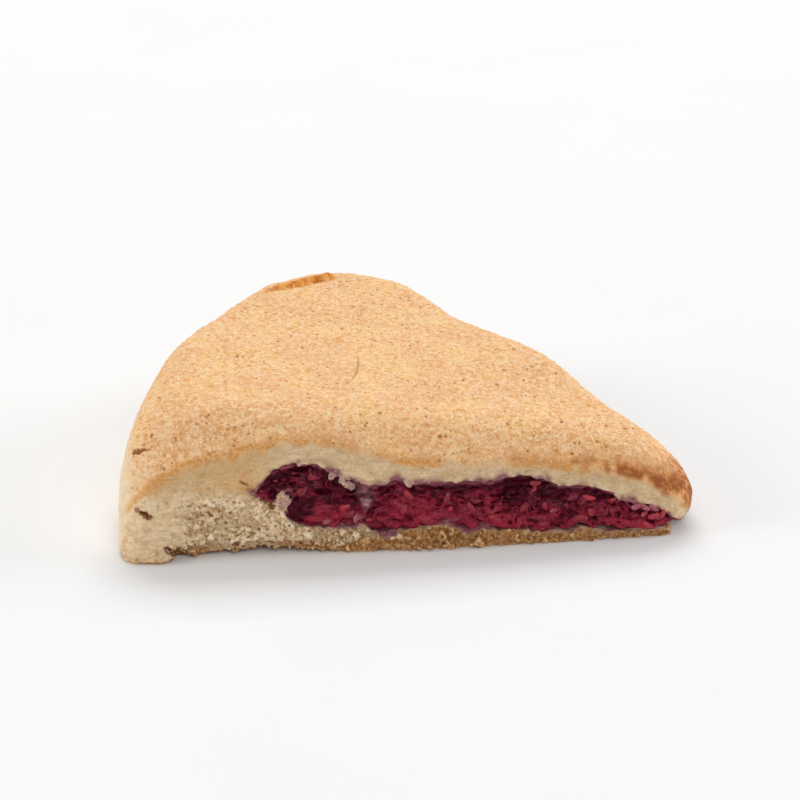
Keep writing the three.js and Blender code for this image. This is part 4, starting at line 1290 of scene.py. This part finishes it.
    # painted shade in the lower layer's hollows and painted highlight on its bumps
    base = m.mix(m.ramp(cav_, 0.52, 0.82, 0, 0.9), base, srgb(84, 44, 14))
    base = m.mix(m.ramp(cav_, 0.45, 0.2, 0, 0.5), base, srgb(236, 194, 142))
    col = m.mix(m.math("MULTIPLY", foot_, 0.92), col, base)
    # hollows: in the crumb a painted shade, in the crust the toasted brown of its pits
    hollow = m.mix(crust_, srgb(124, 70, 24), m.mix(m.ramp(pit_, 0.65, 0.98), srgb(178, 102, 36), srgb(120, 72, 20)))
    col = m.mix(m.ramp(pit_, 0.12, 0.85, 0, 0.9), col, hollow)
    gold_wall = m.mix(m.ramp(m.noise(1.4, 3, 0.6), 0.35, 0.65), srgb(248, 182, 88), srgb(200, 112, 28))
    gold_wall = m.mix(m.ramp(grit, 0.46, 0.60, 0, 0.6), gold_wall, srgb(208, 126, 40))
    col = m.mix(m.ramp(split_, 0.1, 0.8, 0, 0.95), col, gold_wall)
    # fruit juice soaked in
    juice = m.mix(m.ramp(grit, 0.35, 0.65), srgb(112, 44, 66), srgb(150, 92, 104))
    soak = m.math("MULTIPLY", stain_, m.ramp(patch, 0.25, 0.6, 0.5, 1.0))
    col = m.mix(m.ramp(soak, 0.15, 0.95, 0, 0.9), col, juice)
    col = m.mix(m.math("MULTIPLY", inner_, 0.6), col, srgb(96, 24, 44))
    skin = m.mix(m.ramp(grit, 0.38, 0.62), srgb(196, 158, 142), srgb(140, 86, 96))
    col = m.mix(m.math("MULTIPLY", m.attr("bit"), m.ramp(patch, 0.3, 0.65, 0.55, 0.95)), col, skin)
    m.link(col, m.bsdf.inputs["Base Color"])
    m.link(m.ramp(grit, 0.3, 0.7, 0.66, 0.9), m.bsdf.inputs["Roughness"])
    m.bsdf.inputs["Specular IOR Level"].default_value = 0.25
    m.bsdf.inputs["Subsurface Weight"].default_value = 0.08
    m.bsdf.inputs["Subsurface Radius"].default_value = (1.0, 0.55, 0.28)
    m.bsdf.inputs["Subsurface Scale"].default_value = 0.0010
    h1 = m.bump(m.noise(0.9, 3, 0.6), 0.4, 0.2)
    h2 = m.bump(m.noise(0.38, 3, 0.65), 0.5, 0.14, h1)
    h3 = m.bump(m.math("SUBTRACT", 1.0, m.math("MAXIMUM", pores, m.math("MULTIPLY", wrinkle, 0.35))), 0.8, 0.2, h2)
    m.link(h3, m.bsdf.inputs["Normal"])
    return m.mat


def berry_material():
    m = Nodes("cooked_raspberry_material")
    blush_, haze_, recess_shade_, share_, rim_, cav_ = (m.attr(k) for k in ("blush", "haze", "recess_shade", "share", "rim", "cav"))
    swirl = m.noise(2.2, 4, 0.6, 1.2, stretch=(0.6, 0.6, 1.3))
    thread = m.noise(0.8, 4, 0.6, 2.0, stretch=(0.45, 0.45, 1.2))
    deep = m.mix(m.ramp(swirl, 0.35, 0.65), srgb(56, 3, 18), srgb(84, 9, 32))
    red = m.mix(m.ramp(thread, 0.35, 0.68), srgb(136, 28, 48), srgb(166, 54, 70))
    col = m.mix(m.ramp(m.math("ADD", blush_, m.math("ADD", m.ramp(swirl, 0.3, 0.7, -0.16, 0.16), m.ramp(thread, 0.3, 0.7, -0.10, 0.10))), 0.14, 0.95), deep, red)
    mauve = m.mix(m.ramp(thread, 0.4, 0.65), srgb(116, 42, 64), srgb(140, 72, 90))
    col = m.mix(m.math("MULTIPLY", m.ramp(haze_, 0.60, 0.92, 0, 0.55), m.ramp(thread, 0.4, 0.62)), col, mauve)
    col = m.mix(m.math("MULTIPLY", m.ramp(rim_, 0.35, 0.9), m.ramp(thread, 0.3, 0.6, 0.25, 0.75)), col, srgb(150, 78, 90))
    pale = m.mix(m.ramp(thread, 0.35, 0.65), srgb(186, 150, 148), srgb(160, 92, 104))
    col = m.mix(m.ramp(m.attr("pale"), 0.1, 0.9, 0, 0.92), col, pale)
    # painted shade in the fruit's hollows and painted highlight on its bumps
    col = m.mix(m.ramp(cav_, 0.54, 0.9, 0, 0.85), col, srgb(36, 1, 10))
    col = m.mix(m.ramp(cav_, 0.42, 0.12, 0, 0.25), col, srgb(154, 44, 62))
    # painted shade on fruit lying deep behind the cut face
    col = m.mix(m.ramp(recess_shade_, 0.45, 1.0, 0, 0.8), col, srgb(34, 2, 10))
    m.link(col, m.bsdf.inputs["Base Color"])
    m.link(m.ramp(thread, 0.35, 0.7, 0.2, 0.5), m.bsdf.inputs["Roughness"])
    m.bsdf.inputs["Specular IOR Level"].default_value = 0.07
    m.bsdf.inputs["Subsurface Weight"].default_value = 0.3
    m.bsdf.inputs["Subsurface Radius"].default_value = (1.0, 0.16, 0.2)
    m.bsdf.inputs["Subsurface Scale"].default_value = 0.0014
    m.link(m.ramp(m.noise(1.6, 2, 0.5), 0.54, 0.68, 0.0, 0.16), m.bsdf.inputs["Coat Weight"])
    m.bsdf.inputs["Coat Roughness"].default_value = 0.08
    b1 = m.bump(thread, 0.4, 0.22)
    b2 = m.bump(m.noise(0.45, 2, 0.5), 0.25, 0.1, b1)
    m.link(b2, m.bsdf.inputs["Normal"])
    return m.mat


def pip_material():
    m = Nodes("raspberry_pip_material")
    tone_ = m.attr("tone")
    ridge = m.cells(0.55, "F1", "Distance")
    mottled = m.noise(0.8, 3, 0.6)
    col = m.mix(m.ramp(tone_, 0.3, 1.0), srgb(112, 24, 38), srgb(172, 44, 58))
    col = m.mix(m.ramp(tone_, 1.0, 1.6), col, srgb(178, 98, 112))
    col = m.mix(m.ramp(mottled, 0.45, 0.7, 0, 0.5), col, srgb(96, 16, 30))
    m.link(col, m.bsdf.inputs["Base Color"])
    m.link(m.ramp(mottled, 0.3, 0.7, 0.25, 0.5), m.bsdf.inputs["Roughness"])
    m.bsdf.inputs["Specular IOR Level"].default_value = 0.3
    m.bsdf.inputs["Subsurface Weight"].default_value = 0.25
    m.bsdf.inputs["Subsurface Radius"].default_value = (1.0, 0.2, 0.2)
    m.bsdf.inputs["Subsurface Scale"].default_value = 0.0008
    m.bsdf.inputs["Coat Weight"].default_value = 0.15
    m.bsdf.inputs["Coat Roughness"].default_value = 0.1
    m.link(m.bump(ridge, 0.4, 0.12), m.bsdf.inputs["Normal"])
    return m.mat


def grain_material():
    m = Nodes("crumb_grain_material")
    tone_, foot_ = m.attr("tone"), m.attr("foot")
    grit = m.noise(0.3, 2, 0.6)
    pale = m.mix(tone_, srgb(204, 166, 116), srgb(244, 224, 188))
    brown = m.mix(tone_, srgb(150, 96, 46), srgb(228, 178, 122))
    col = m.mix(m.math("MULTIPLY", foot_, 0.92), pale, brown)
    col = m.mix(m.ramp(grit, 0.45, 0.65, 0, 0.35), col, srgb(150, 110, 66))
    m.link(col, m.bsdf.inputs["Base Color"])
    m.link(m.ramp(grit, 0.3, 0.7, 0.65, 0.9), m.bsdf.inputs["Roughness"])
    m.bsdf.inputs["Specular IOR Level"].default_value = 0.25
    m.bsdf.inputs["Subsurface Weight"].default_value = 0.1
    m.bsdf.inputs["Subsurface Radius"].default_value = (1.0, 0.6, 0.35)
    m.bsdf.inputs["Subsurface Scale"].default_value = 0.0006
    m.link(m.bump(grit, 0.4, 0.08), m.bsdf.inputs["Normal"])
    return m.mat


def sugar_material():
    m = Nodes("sugar_crystal_material")
    tone_ = m.attr("tone")
    cloud = m.noise(0.3, 2, 0.5)
    col = m.mix(m.ramp(tone_, 0.2, 0.85), srgb(255, 220, 168), srgb(255, 236, 202))
    col = m.mix(m.ramp(cloud, 0.4, 0.7, 0, 0.4), col, srgb(255, 218, 166))
    m.link(col, m.bsdf.inputs["Base Color"])
    m.link(m.ramp(cloud, 0.3, 0.7, 0.3, 0.6), m.bsdf.inputs["Roughness"])
    m.bsdf.inputs["Specular IOR Level"].default_value = 0.3
    m.bsdf.inputs["Subsurface Weight"].default_value = 0.08
    m.bsdf.inputs["Subsurface Radius"].default_value = (1.0, 0.7, 0.4)
    m.bsdf.inputs["Subsurface Scale"].default_value = 0.0006
    m.link(m.bump(cloud, 0.2, 0.05), m.bsdf.inputs["Normal"])
    return m.mat


dough.data.materials.append(dough_material())
filling.data.materials.append(berry_material())
pips.data.materials.append(pip_material())
sugar.data.materials.append(sugar_material())
crumbs.data.materials.append(grain_material())

# ---------------------------------------------------------------------------
# Floor, light and camera
# ---------------------------------------------------------------------------
floor_mesh = bpy.data.meshes.new("studio_floor")
floor_mesh.from_pydata([(-4, -4, 0), (4, -4, 0), (4, 4, 0), (-4, 4, 0)], [], [(0, 1, 2, 3)])
floor_obj = bpy.data.objects.new("studio_floor", floor_mesh)
bpy.context.scene.collection.objects.link(floor_obj)
fm = Nodes("studio_floor_material")
fm.link(fm.mix(fm.ramp(fm.noise(60, 2), 0.3, 0.7), (0.90, 0.90, 0.90, 1), (0.91, 0.91, 0.91, 1)), fm.bsdf.inputs["Base Color"])
fm.bsdf.inputs["Roughness"].default_value = 0.65
fm.bsdf.inputs["Specular IOR Level"].default_value = 0.2
floor_mesh.materials.append(fm.mat)

world = bpy.data.worlds.new("studio")
bpy.context.scene.world = world
world.use_nodes = True
world.node_tree.nodes["Background"].inputs[0].default_value = (1.0, 1.0, 1.0, 1)
world.node_tree.nodes["Background"].inputs[1].default_value = 0.345


def area(name, at_m, size, watts, colour=(1, 1, 1), aim=(0, 0, 0.01)):
    li = bpy.data.lights.new(name, "AREA")
    li.shape = "RECTANGLE"
    li.size, li.size_y = size
    li.energy = watts
    li.color = colour
    ob = bpy.data.objects.new(name, li)
    ob.location = at_m
    ob.rotation_mode = "QUATERNION"
    ob.rotation_quaternion = (Vector(aim) - Vector(at_m)).to_track_quat("-Z", "Y")
    bpy.context.scene.collection.objects.link(ob)
    return ob


area("soft_back", (0.3, 2.9, 2.65), (2.8, 1.5), 87.0, (1.0, 0.995, 0.988))
area("soft_left", (-3.0, 0.0, 1.1), (1.6, 1.3), 30.0)
area("soft_right", (3.0, 0.5, 1.0), (1.6, 1.3), 33.0)
area("soft_front", (0.1, -2.5, 1.8), (2.2, 1.4), 29.0)

cam = bpy.data.cameras.new("camera")
cam_obj = bpy.data.objects.new("camera", cam)
bpy.context.scene.collection.objects.link(cam_obj)
cam.sensor_width = 36.0
cam.lens = 3275.6 / 800 * 36.0
cam.clip_start, cam.clip_end = 0.01, 20
eye = (np.array([-134.995, -541.505, 237.817]) - CENTRE) * 0.001
look = Vector((0.124682, 0.925217, -0.358368))
cam_obj.location = eye
cam_obj.rotation_mode = "QUATERNION"
cam_obj.rotation_quaternion = look.to_track_quat("-Z", "Y")
bpy.context.scene.camera = cam_obj
bpy.context.scene.view_settings.view_transform = "Standard"

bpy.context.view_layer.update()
say("done")
